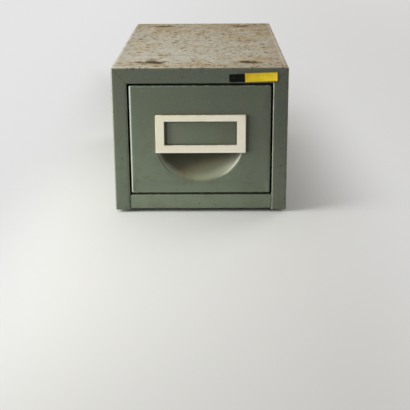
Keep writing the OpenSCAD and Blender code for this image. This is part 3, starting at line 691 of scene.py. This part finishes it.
buffer_x, buffer_z, wall_y = 40.65, 62.4, 158.6
buffer_outline = [
    (0, -1.7), (3.2, -1.7), (3.8, -1.5), (4, -1.1), (4, -0.9), (2.5, -0.9), (2.5, 0),
    (5.9, 0), (6, 0.2), (6, 5.6), (5.86, 6.5), (5.4, 7.2), (4.6, 7.65), (3.6, 7.8),
    (1.4, 7.8), (1.1, 7.5), (0, 7.5)]
buffer_bm = turned(buffer_outline)
bmesh.ops.transform(buffer_bm, matrix=Matrix.Rotation(radians(90), 4, "X"), verts=buffer_bm.verts)
buffers = add_piece("rubber_buffers", plain_mesh("rubber_buffers", buffer_bm))
corners_tree.sizes = {"Side": buffer_x * MM, "Front": wall_y * MM, "Rear": wall_y * MM,
                      "Height": buffer_z * MM, "Count": 2}
corners_tree.apply(buffers)
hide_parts("buffer_left", "buffer_right")
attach(buffers, "casing")

# ---- Badge ----
# A thin plate stuck on the right of the top flange, a little out of level. Its rim stands
# up a little round a short black field and a long yellow one, both plain.

dark_w, dark_h, badge_round = 14.9, 7.6, 1.6

badge_bm = bmesh.new()
# width and height left in from the edge, and how far the surface stands off the casing
badge_steps = [(0.0, 0.0), (0.0, 0.34), (0.06, 0.40), (0.20, 0.46), (0.34, 0.53), (0.46, 0.55), (0.60, 0.53),
               (0.70, 0.49)]


def badge_loop(bm, inset, off, steps=6):
    """The badge's outline drawn in by inset, anticlockwise, at a height off the casing."""
    half, tall, low_half = badge_w / 2 - inset, badge_h / 2 - inset, dark_h / 2 - inset
    r = badge_round - inset
    split = dark_w + inset - badge_w / 2
    # where the short field runs into the long one's rounded corner
    meet = degrees(asin(1 - (tall - low_half) / r))
    loop = []
    for x, z, start, end in ((half - r, tall - r, 0, 90), (split + r, tall - r, 90, 180 - meet),
                             (r - half, low_half - r, 90, 180), (r - half, r - low_half, 180, 270),
                             (split + r, r - tall, 180 + meet, 270), (half - r, r - tall, 270, 360)):
        for i in range(steps + 1):
            a = radians(start + (end - start) * i / steps)
            loop.append(bm.verts.new(((x + r * cos(a)) * MM, -off * MM, (z + r * sin(a)) * MM)))
    return loop


def bridge(bm, a, b):
    for i in range(len(a)):
        j = (i + 1) % len(a)
        bm.faces.new((a[i], a[j], b[j], b[i]))


loops = [badge_loop(badge_bm, inset, off) for inset, off in badge_steps]
for a, b in zip(loops, loops[1:]):
    bridge(badge_bm, a, b)
badge_bm.faces.new(loops[0])
badge_bm.faces.new(loops[-1])
bmesh.ops.recalc_face_normals(badge_bm, faces=badge_bm.faces)
badge_place = (Matrix.Translation(Vector((badge_x, front, badge_z)) * MM)
               @ Matrix.Rotation(radians(-badge_tilt), 4, "Y"))
badge_mesh = plain_mesh("badge", badge_bm, 50)
# each corner keeps its place on the level plate, for the two fields
flat = badge_mesh.attributes.new("on_plate", "FLOAT_VECTOR", "POINT")
flat.data.foreach_set("vector", [c / MM for v in badge_mesh.vertices for c in v.co])
badge_mesh.transform(badge_place)

badge_enamel = Finish("badge_enamel")
f = badge_enamel
plate = f.add("ShaderNodeAttribute", attribute_name="on_plate")
plate_x, plate_y, plate_z = f.add("ShaderNodeSeparateXYZ", {0: plate.outputs["Vector"]}).outputs
split = dark_w - badge_w / 2
is_black = f.band(plate_x, split + 0.05, split - 0.05)
half_tall = f.plus(f.times(is_black, (dark_h - badge_h) / 2), badge_h / 2)
to_edge = f.math("MINIMUM", f.less(badge_w / 2, f.off(plate_x)), f.less(half_tall, f.off(plate_z)))
aged = f.noise(5, 4, 0.6, seed=71)
seam = f.near(plate_x, split, 0.35)
worn_rim = f.times(f.band(to_edge, 0.72, 0.60), f.band(f.noise(2.2, 3, seed=72), 0.25, 0.5, 0.75, 1.0))
hair = f.band(f.noise(0.5, 1, stretch=(20, 1, 1.4), seed=73), 0.70, 0.74)
is_aged = f.band(aged, 0.35, 0.7)
badge_colour = f.coats(
    f.mix(is_aged, tint(234, 203, 45), tint(217, 187, 46)),
    (is_black, 1.0, f.mix(is_aged, tint(5, 5, 4), tint(13, 13, 11))),
    (seam, 0.75, (60, 54, 34)),
    (worn_rim, 1.0, f.mix(is_black, tint(140, 118, 36), tint(12, 12, 9))),
    (hair, 0.25, (196, 186, 140)))
badge_enamel = f.surface(
    badge_colour, f.band(aged, 0.3, 0.7, 0.26, 0.38),
    f.plus(f.times(aged, 0.03), f.times(seam, -0.05)), Specular_IOR_Level=0.12)
badge = add_piece("badge", badge_mesh, badge_enamel)
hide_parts("badge_plate")
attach(badge, "casing")

# ---- Drawer front ----
# A pan of 0.8 mm steel, 16 mm deep, its face pressed in to a half-moon finger pull with a
# straight upper lip. Enamelled like the casing.

face_w, face_low, face_high, face_d = 67.4, 19.78, 125.67, 16.0
face_fold, face_corner, face_t = 2.0, 1.6, 0.8
pull_x, pull_z, pull_r, pull_low, pull_top, pull_d = -0.2, 72.88, 42.7, 30.18, 61.28, 12.6
pull_rings, pull_rays = 24, 52
lip_half = sqrt(pull_r ** 2 - (pull_z - pull_top) ** 2)

# the pressing: each point goes back by the pull's depth at its place, rounded at the rim
press = Tree("finger_pull", Middle_X=pull_x * MM, Middle_Z=pull_z * MM, Radius=pull_r * MM, Low=pull_low * MM,
             Lip=pull_top * MM, Depth=pull_d * MM, Rim_Softness=1.1 * MM)
t = press
at = t.add("ShaderNodeSeparateXYZ", {0: t.add("GeometryNodeInputPosition").outputs[0]}).outputs
r = t.math("DIVIDE", t.slant(t.less(at[0], t["Middle_X"]), t.less(at[2], t["Middle_Z"])), t["Radius"])
rise = t.math("DIVIDE", t.less(at[2], t["Low"]), t.less(t["Lip"], t["Low"]))
s = t.either(t.math("MINIMUM", rise, 1.0), 0.0004)
hollow = t.times(t["Depth"], t.less(1.0, t.math("POWER", r, 4.0)), t.math("POWER", s, 0.7))
soft = t.times(t["Rim_Softness"], t.math("SQRT", t.either(t.less(1.0, rise), 0.0)))
deep = t.times(t.plus(hollow, t.slant(hollow, soft)), 0.5)
share = t.add("GeometryNodeInputNamedAttribute", {"Name": "pressed"}, data_type="FLOAT").outputs[0]
moved = t.add("GeometryNodeSetPosition", {
    "Geometry": t["Geometry"],
    "Offset": t.add("ShaderNodeCombineXYZ", {1: t.times(deep, share)}).outputs[0]})

face_paint = Finish("drawer_enamel")
p = face_paint
face_colour, face_rough, face_relief = enamel(p, green, seed=80)
# paint rubbed off the folds, and a painted highlight along the left one
from_end = p.math("MINIMUM", p.less(p.z, face_low), p.less(face_high, p.z))
from_edge = p.math("MINIMUM", p.less(face_w, p.off(p.x)), from_end)
on_fold = p.band(p.y, front + 3.2, front + 1.6)
rubbed_and_highlit = p.times(on_fold, p.either(
    p.times(p.band(from_edge, 1.6, 0.2), p.band(p.noise(3.2, 4, 0.65, seed=85), 0.46, 0.62)),
    p.times(p.near(p.x, 0.9 - face_w, 1.0), p.band(p.noise(9, 3, seed=84), 0.3, 0.5, 0.5, 1.0))))
painted_fold_highlight = p.times(p.near(p.x, 1.0 - face_w, 1.25), on_fold)
# dirt above the label frame, and a painted shadow of the frame beside it on the right
label_x, label_z = 0.4, 79.28
label_half_w, label_half_h = 43.2, 18.45
window_half_w, window_low, window_high = 34.7, 68.33, 91.83
past_x = p.less(p.off(p.x, label_x), label_half_w)
past_z = p.less(p.off(p.z, label_z), label_half_h)
above = p.times(p.band(past_z, 2.0, 0.5), p.band(past_x, 1.2, 0.0), p.band(p.z, 91, 96),
                p.band(p.noise(4, 3, seed=90), 0.25, 0.55, 0.6, 1.0))
painted_frame_shadow = p.times(p.band(past_x, 4.8, 1.4), p.band(past_z, 0.4, -0.8), p.band(p.x, 30, 40))
face_colour = p.coats(
    face_colour,
    # painted shade towards the top of the face, and painted light low in its middle
    (p.band(p.z, 40, 80), 0.07, (54, 60, 44)),
    (p.times(p.band(p.z, 32, 24), p.near(p.x, 0, 60)), 0.05, (180, 190, 172)),
    (rubbed_and_highlit, 0.55, (160, 168, 148)),
    (painted_fold_highlight, 0.5, (208, 216, 206)),
    (above, 0.75, (96, 76, 36)),
    (painted_frame_shadow, 0.92, (34, 25, 4)))
# the enamel in the window is painted lighter: painted light where the frame shades it
window_area = p.times(
    p.band(p.off(p.x, label_x), window_half_w - 1.2, window_half_w - 3.2),
    p.band(p.z, window_low + 0.5, window_low + 2.5),
    p.band(p.z, window_high - 0.8, window_high - 3.0))
face_colour = p.mix(window_area, face_colour, p.mix(1.0, face_colour, (1.08, 1.045, 1.0, 1.0), "MULTIPLY"))
# painted shadow of the frame along the window's edges, most of it on the left
from_left = p.less(p.x, label_x - window_half_w)
from_middle = p.less(p.z, (window_low + window_high) / 2)
window_half_h = (window_high - window_low) / 2
painted_window_shadow = p.either(
    p.band(from_left, 3.7, 2.1),
    p.band(from_left, 2 * window_half_w - 1.7, 2 * window_half_w - 0.4, 0.0, 0.7),
    p.band(from_middle, window_half_h - 2.0, window_half_h - 0.6, 0.0, 0.9),
    p.band(from_middle, 1.4 - window_half_h, 0.2 - window_half_h, 0.0, 0.8))
painted_window_shadow = p.times(painted_window_shadow, p.band(past_x, -4, -5), p.band(past_z, -4, -5))
# in the pull, dark dirt and painted shade from the upper left down, and a little rust in its low part
lies = p.add("ShaderNodeAttribute", attribute_name="pull").outputs["Fac"]
in_pull = p.band(lies, 0.03, 0.25)
height = p.less(p.z, p.times(p.x, 0.3))
dirt_and_shade = p.times(p.band(lies, 0.1, 0.38), p.band(height, 40.6, 51.0), p.band(p.x, 46, 14, 0.55, 1.0),
                p.band(p.x, 10, -16, 0.92, 1.0))
brownish = p.times(in_pull, p.near(height, 43.6, 11),
                   p.band(p.noise(6, 4, 0.65, seed=86), 0.3, 0.55, 0.35, 1.0))
ruddy = p.times(in_pull, p.near(height, 43.6, 9), p.near(p.x, -10, 22),
                p.band(p.noise(2.2, 4, 0.7, seed=87), 0.47, 0.62))
pits = p.times(in_pull, p.spots(4.2, 0.5, 0.95, 0.6, seed=92))
# painted light round its lower right, with a painted highlight line inside the rim, and fainter painted light
# on the left
painted_pull_light = p.times(
    in_pull, p.band(lies, 0.78, 0.36), p.band(height, 46.6, 36.6), p.band(p.x, -26, 6),
    p.either(p.band(lies, 0.02, 0.32), p.band(p.x, 0, 28)), p.band(p.z, 53, 43),
    p.band(p.z, 31, 38, 0.78, 1.0), p.band(p.noise(7, 3, seed=91), 0.2, 0.5, 0.8, 1.0))
painted_pull_light_tone = p.mix(p.band(p.x, 0, 18), tint(170, 171, 132), tint(172, 174, 145))
shine = p.times(p.band(lies, 0.01, 0.05), p.band(lies, 0.34, 0.06), p.band(p.x, 8, 24), p.band(p.z, 58, 53))
painted_rim_glint = p.times(p.band(p.x, 10, 19), p.either(
    p.times(p.near(lies, 0.135, 0.085), p.band(p.z, 56, 46, 0.25, 1.0), p.band(p.z, 35.5, 39)),
    p.times(p.near(lies, 0.09, 0.06), p.band(p.z, 52, 56, 0.0, 0.8))))
painted_left_light = p.times(p.near(lies, 0.27, 0.24), p.band(p.x, -12, -22), p.band(p.z, 53, 46))
# painted shade under its lip and in its upper right corner
lip_shade = p.times(in_pull, p.band(p.z, 52, 58), p.band(p.x, 4, -24, 0.35, 1.0))
corner_shade = p.times(in_pull, p.band(p.z, 47, 57), p.band(p.x, 10, 26))
# its rim is rubbed pale on the left, with dirt outside that, and painted shade at the lower right
from_rim = p.less(p.slant(p.less(p.x, pull_x), p.less(p.z, pull_z)), pull_r)
left_rim = p.times(p.band(p.x, -8, -20), p.band(p.z, 37.6, 44.6))
rim_rub = p.times(p.near(lies, 0.075, 0.05), left_rim, p.band(p.noise(5, 3, seed=88), 0.3, 0.5, 0.6, 1.0))
rim_dirt = p.times(p.near(from_rim, 0.7, 0.9), left_rim, p.band(p.z, 61.4, 58.6))
painted_rim_shade = p.times(p.near(from_rim, -0.4, 2.2), p.band(p.x, 11, 17), p.band(p.x, 27, 22), p.band(p.z, 46, 40))
smear = p.times(p.near(p.z, 113.6, 7), p.near(p.x, 2, 14),
                p.band(p.noise(2.2, 3, stretch=(1, 1, 3), seed=89), 0.6, 0.7))
face_colour = p.coats(
    face_colour,
    # in the window, painted shade on its right and painted light on its left
    (p.times(window_area, p.band(p.x, 8, 34)), 0.3, (62, 66, 52)),
    (p.times(window_area, p.band(p.x, 0, -26)), 0.12, (150, 156, 138)),
    (painted_window_shadow, 0.9, (26, 19, 3)),
    (dirt_and_shade, 0.87, (45, 41, 15)),
    (brownish, 0.5, (110, 98, 62)),
    (painted_pull_light, 0.53, painted_pull_light_tone),
    (shine, 0.5, (188, 192, 170)),
    (painted_rim_glint, 0.45, (224, 227, 208)),
    (painted_left_light, 0.34, (150, 150, 128)),
    (lip_shade, 0.3, (44, 40, 27)),
    (corner_shade, 0.5, (44, 42, 28)),
    (ruddy, 0.42, (88, 66, 38)),
    (pits, 0.75, (48, 37, 18)),
    (rim_rub, 0.75, (164, 164, 140)),
    (rim_dirt, 0.55, (56, 56, 42)),
    (painted_rim_shade, 0.7, (92, 98, 82)),
    (smear, 0.5, (140, 142, 116)))
face_rough = p.plus(face_rough, p.times(dirt_and_shade, 0.3), p.times(brownish, 0.15))
face_paint = p.surface(face_colour, face_rough, face_relief, Specular_IOR_Level=0.62)
press.close(moved.outputs[0], face_paint)


def outline_points(inset):
    """The front's outline drawn in by inset: 49 points over the lip, then 51 under it."""
    r = max(face_corner - inset, 0.05)
    hx, low_z, high_z = face_w - inset, face_low + inset, face_high - inset

    def run(a, b, n):
        return [(a[0] + (b[0] - a[0]) * i / n, a[1] + (b[1] - a[1]) * i / n) for i in range(n)]

    def arc(x, z, start, n=5):
        return [(x + r * cos(radians(start + 90 * i / n)), z + r * sin(radians(start + 90 * i / n)))
                for i in range(n)]

    return (run((hx, pull_top), (hx, high_z - r), 12) + arc(hx - r, high_z - r, 0)
            + run((hx - r, high_z), (r - hx, high_z), 14) + arc(r - hx, high_z - r, 90)
            + run((-hx, high_z - r), (-hx, pull_top), 12)
            + run((-hx, pull_top), (-hx, low_z + r), 10) + arc(r - hx, low_z + r, 180)
            + run((r - hx, low_z), (hx - r, low_z), 22) + arc(hx - r, low_z + r, 270)
            + run((hx, low_z + r), (hx, pull_top), 10))


def pull_reach(a):
    """Distance from the middle of the lip to the round rim at angle a."""
    up = pull_z - pull_top
    return up * sin(a) + sqrt((up * sin(a)) ** 2 + pull_r ** 2 - up ** 2)


ring_share = [(j / pull_rings) ** 0.8 for j in range(pull_rings + 1)]
lip_x = [lip_half * s for s in reversed(ring_share)] + [-lip_half * s for s in ring_share[1:]]
under = [pi + pi * i / pull_rays for i in range(pull_rays + 1)]
rim_points = ([(pull_x + x, pull_top) for x in lip_x]
              + [(pull_x + pull_reach(a) * cos(a), pull_top + pull_reach(a) * sin(a)) for a in under[1:-1]])
face_outline = outline_points(face_fold)
assert len(face_outline) == len(rim_points)

face_bm = bmesh.new()
pressed_of, pull_of = {}, {}


def face_point(x, y, z, pressed=0.0, pull=0.0):
    v = face_bm.verts.new((x * MM, y * MM, z * MM))
    pressed_of[v], pull_of[v] = pressed, pull
    return v


# flat of the face, ring by ring from the rim to the folds: close together as far as 5 mm
# from the rim, and evenly from there on
near_steps, even_steps = (0, 0.35, 0.75, 1.25, 2, 3.2, 5), 6
flat_rings = []
for ring in range(1 - len(near_steps), even_steps + 1):
    loop = []
    for i, ((x0, z0), (x1, z1)) in enumerate(zip(rim_points, face_outline)):
        span = sqrt((x1 - x0) ** 2 + (z1 - z0) ** 2)
        close = near_steps[min(ring, 0) - 1] / span
        q = close + (1 - close) * max(ring, 0) / even_steps
        x, z = x0 + (x1 - x0) * q, z0 + (z1 - z0) * q
        under_lip = i > 2 * pull_rings and z < pull_top - 0.02
        loop.append(face_point(x, front, z, float(under_lip)))
    flat_rings.append(loop)
for a, b in zip(flat_rings, flat_rings[1:]):
    bridge(face_bm, a, b)
# folds and walls
last = flat_rings[-1]
bends = [(face_fold * (1 - sin(radians(a))), face_fold * (1 - cos(radians(a)))) for a in range(15, 91, 15)]
for inset, back in bends + [(0, 6), (0, 11), (0, face_d)]:
    loop = [face_point(x, front + back, z) for x, z in outline_points(inset)]
    bridge(face_bm, last, loop)
    last = loop
# the pressed hollow, ray by ray under the middle of the lip, and its lip's wall
middle = face_point(pull_x, front, pull_top, 1.0, 1.0)
rays = []
for k, a in enumerate(under):
    ray = [middle]
    for j in range(1, pull_rings + 1):
        q = pull_reach(a) * ring_share[j]
        x, z = pull_x + q * cos(a), pull_top + q * sin(a)
        if j == pull_rings:
            v = flat_rings[0][2 * pull_rings + k if k < pull_rays else 0]
        else:
            v = face_point(x, front, z, 1.0, 1 - (((x - pull_x) ** 2 + (z - pull_z) ** 2) / pull_r ** 2) ** 2)
        ray.append(v)
    rays.append(ray)
for a, b in zip(rays, rays[1:]):
    for j in range(pull_rings):
        face_bm.faces.new([a[0], a[1], b[1]] if j == 0 else [a[j], a[j + 1], b[j + 1], b[j]])
lip_deep = list(reversed(rays[-1])) + rays[0][1:]
for i in range(2 * pull_rings):
    face_bm.faces.new(whole_corners(flat_rings[0][i], flat_rings[0][i + 1], lip_deep[i + 1], lip_deep[i]))
bmesh.ops.recalc_face_normals(face_bm, faces=face_bm.faces)
shares = {"pressed": [pressed_of[v] for v in face_bm.verts], "pull": [pull_of[v] for v in face_bm.verts]}
face_mesh = plain_mesh("drawer_face", face_bm, 46)
for name, values in shares.items():
    face_mesh.attributes.new(name, "FLOAT", "POINT").data.foreach_set("value", values)
drawer_face = add_piece("drawer_face", face_mesh)
press.apply(drawer_face)
skin = drawer_face.modifiers.new("sheet", "SOLIDIFY")
skin.thickness = face_t * MM
skin.offset = -1
settle(drawer_face)
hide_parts("drawer_front")
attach(drawer_face, "drawer")

# ---- Liner, tray and drawer back ----
# The liner closes the hollow front from behind. The tray is one folded sheet with swept
# sides, and a shallow pan closes its rear; all are welded and enamelled together.

inside_paint = Finish("inside_enamel")
p = inside_paint
inside_colour, inside_rough, inside_relief = enamel(p, shade(green, 0.97), seed=100, dirt=0.6)
trodden = p.times(p.band(p.noise(1.4, 2, stretch=(1, 30, 1), seed=105), 0.64, 0.72),
                  p.band(p.noise(30, 2, seed=106), 0.45, 0.62))
inside_paint = p.surface(
    p.coats(inside_colour, (trodden, 0.4, (138, 144, 126))), inside_rough, inside_relief,
    Specular_IOR_Level=0.62)
for node, name in (("front_liner", "front_liner_pan"), ("drawer_tray", "tray"), ("drawer_back", "tray_back")):
    piece = own_piece(name, node, inside_paint, 0.12)
    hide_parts(node)
    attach(piece, "drawer")

# ---- Slides, guide blocks and their rivets ----
# A pressed zinc-plated rail is welded along each side of the tray. A nylon block behind it
# fills the runner and is riveted through the tray's side.

slide_zinc = zinc_plate("slide_zinc", 0.0, 120)
nylon_finish = Finish("nylon")
f = nylon_finish
cloudy = f.noise(6, 3, seed=131)
nylon_finish = f.surface(
    f.mix(f.band(cloudy, 0.35, 0.7), tint(224, 220, 205), tint(208, 202, 182)),
    f.band(cloudy, 0.3, 0.7, 0.42, 0.55), f.times(f.noise(0.9, 2, seed=132), 0.015),
    Subsurface_Weight=0.15, Subsurface_Scale=0.002)
for side in ("left", "right"):
    slide = own_piece(f"slide_{side}_rail", f"slide_{side}", slide_zinc, 0.12)
    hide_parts(f"slide_{side}")
    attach(slide, "drawer")
    block = own_piece(f"guide_{side}_block", f"glide_{side}", nylon_finish, 0.25)
    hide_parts(f"glide_{side}")
    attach(block, "drawer")
guide_rivets = own_piece("guide_rivets", "glide_rivets", slide_zinc, 0.3, 3)
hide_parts("glide_rivets")
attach(guide_rivets, "drawer")

# ---- Label frame ----
# Moulded in cream plastic, with a shallow pocket behind it that takes a paper label from
# above. Four pegs on its back snap through the drawer front.

cream = Finish("aged_cream_plastic")
f = cream
along, up = f.less(f.x, label_x), f.less(f.z, label_z)
aged = f.noise(20, 3, seed=141)
yellowed = f.plus(f.band(aged, 0.3, 0.7, 0.0, 0.45), f.band(f.x, 30, -40, 0.0, 0.7),
                  f.band(up, -16, 16, 0.0, 0.05))
top_dirt = f.times(f.band(up, label_half_h - 1.1, label_half_h - 0.1),
                   f.band(f.noise(5, 4, 0.65, seed=142), 0.35, 0.6))
sill_dirt = f.times(
    f.either(f.near(f.z, window_low, 0.8), f.near(f.z, window_high, 0.8)),
    f.band(f.off(along), window_half_w + 0.5, window_half_w - 0.5),
    f.band(f.noise(6, 3, seed=143), 0.4, 0.62))
# painted shade on the left edge of the window
window_edge_shade = f.times(
    f.near(along, -0.1 - window_half_w, 0.45),
    f.band(f.z, window_low - 0.2, window_low + 0.4),
    f.band(f.z, window_high + 0.2, window_high - 0.4))
cream_colour = f.coats(
    tint(244, 239, 219),
    (yellowed, 1.0, (234, 228, 204)),
    (top_dirt, 0.4, (168, 132, 78)),
    (sill_dirt, 0.4, (186, 160, 112)),
    (f.spots(9, 0.3, 0.5, 0.6, seed=144), 0.4, (150, 120, 80)),
    # painted shade on the left of the outer wall, and a painted highlight along the lower edge
    (f.band(along, 1.1 - label_half_w, 0.4 - label_half_w), 0.9, (186, 178, 150)),
    (f.band(up, 2.4 - label_half_h, 1.0 - label_half_h), 0.75, (253, 250, 239)),
    (window_edge_shade, 0.8, (70, 56, 34)))
cream = f.surface(
    cream_colour, f.band(aged, 0.3, 0.7, 0.36, 0.46),
    f.plus(f.times(f.noise(14, 1, seed=145), 0.05), f.times(f.noise(0.7, 1, seed=146), 0.006)),
    Specular_IOR_Level=0.45)
label_frame = own_piece("label_frame", "label_holder", cream, 0.22, 3, 30)
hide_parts("label_holder")
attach(label_frame, "drawer")

# ---- Follower ----
# A sloping zinc-plated plate holds up the cards. A shoe under the drawer's floor keys it
# in the slot, and two rivets join shoe, plate and lever bracket.

follower_zinc = zinc_plate("follower_zinc", 0.015, 150)
for node, name, edge in (("follower_plate", "follower_sheet", 0.2), ("follower_shoe", "shoe", 0.3),
                         ("follower_rivets", "follower_rivet_pair", 0.3), ("lever_bracket", "bracket", 0.2),
                         ("lever_pin", "hinge_pin", 0.2)):
    piece = own_piece(name, node, follower_zinc, edge)
    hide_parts(node)
    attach(piece, "follower")

# ---- Brake lever ----
# Squeezed towards the plate it lifts a rubber pad off the floor, so that the follower
# slides; a leaf of blued spring steel brings it back.

spring_steel = Finish("spring_steel")
f = spring_steel
heat = f.noise(7, 3, seed=171)
spring_steel = f.surface(
    f.mix(f.band(heat, 0.35, 0.7), tint(84, 88, 98), tint(104, 98, 92)),
    f.band(heat, 0.3, 0.7, 0.28, 0.4),
    f.times(f.noise(1, 2, stretch=(1, 1, 18), seed=172), 0.012),
    f.band(heat, 0.0, 1.0, 0.95, 0.9))
# the leaf's foot stays on the plate and its tip goes with the arm, so it is cut across into short lengths
# between the two
leaf_foot, leaf_tip, leaf_lengths = Vector((0, 69.6, 25.3)) * MM, Vector((0, 84.7, 55.0)) * MM, 12
leaf_bm = own_surface("lever_spring")
for step in range(1, leaf_lengths):
    cut = leaf_foot.lerp(leaf_tip, step / leaf_lengths)
    bmesh.ops.bisect_plane(leaf_bm, geom=leaf_bm.verts[:] + leaf_bm.edges[:] + leaf_bm.faces[:],
                           plane_co=cut, plane_no=leaf_tip - leaf_foot)
leaf = add_piece("leaf_spring", plain_mesh("leaf_spring", leaf_bm), spring_steel)
ease_edges(leaf, 0.08, 3)
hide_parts("lever_spring")
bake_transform(leaf)

lever_zinc = zinc_plate("lever_zinc", 0.01, 180)
for node, name, edge, finish, slot in (("lock_lever", "thumb_lever", 0.35, lever_zinc, "zinc_steel"),
                                       ("lever_pad", "brake_pad", 0.25, rubber, "rubber")):
    piece = own_piece(name, node, finish, edge, 3)
    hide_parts(node)
    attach(piece, "lever")
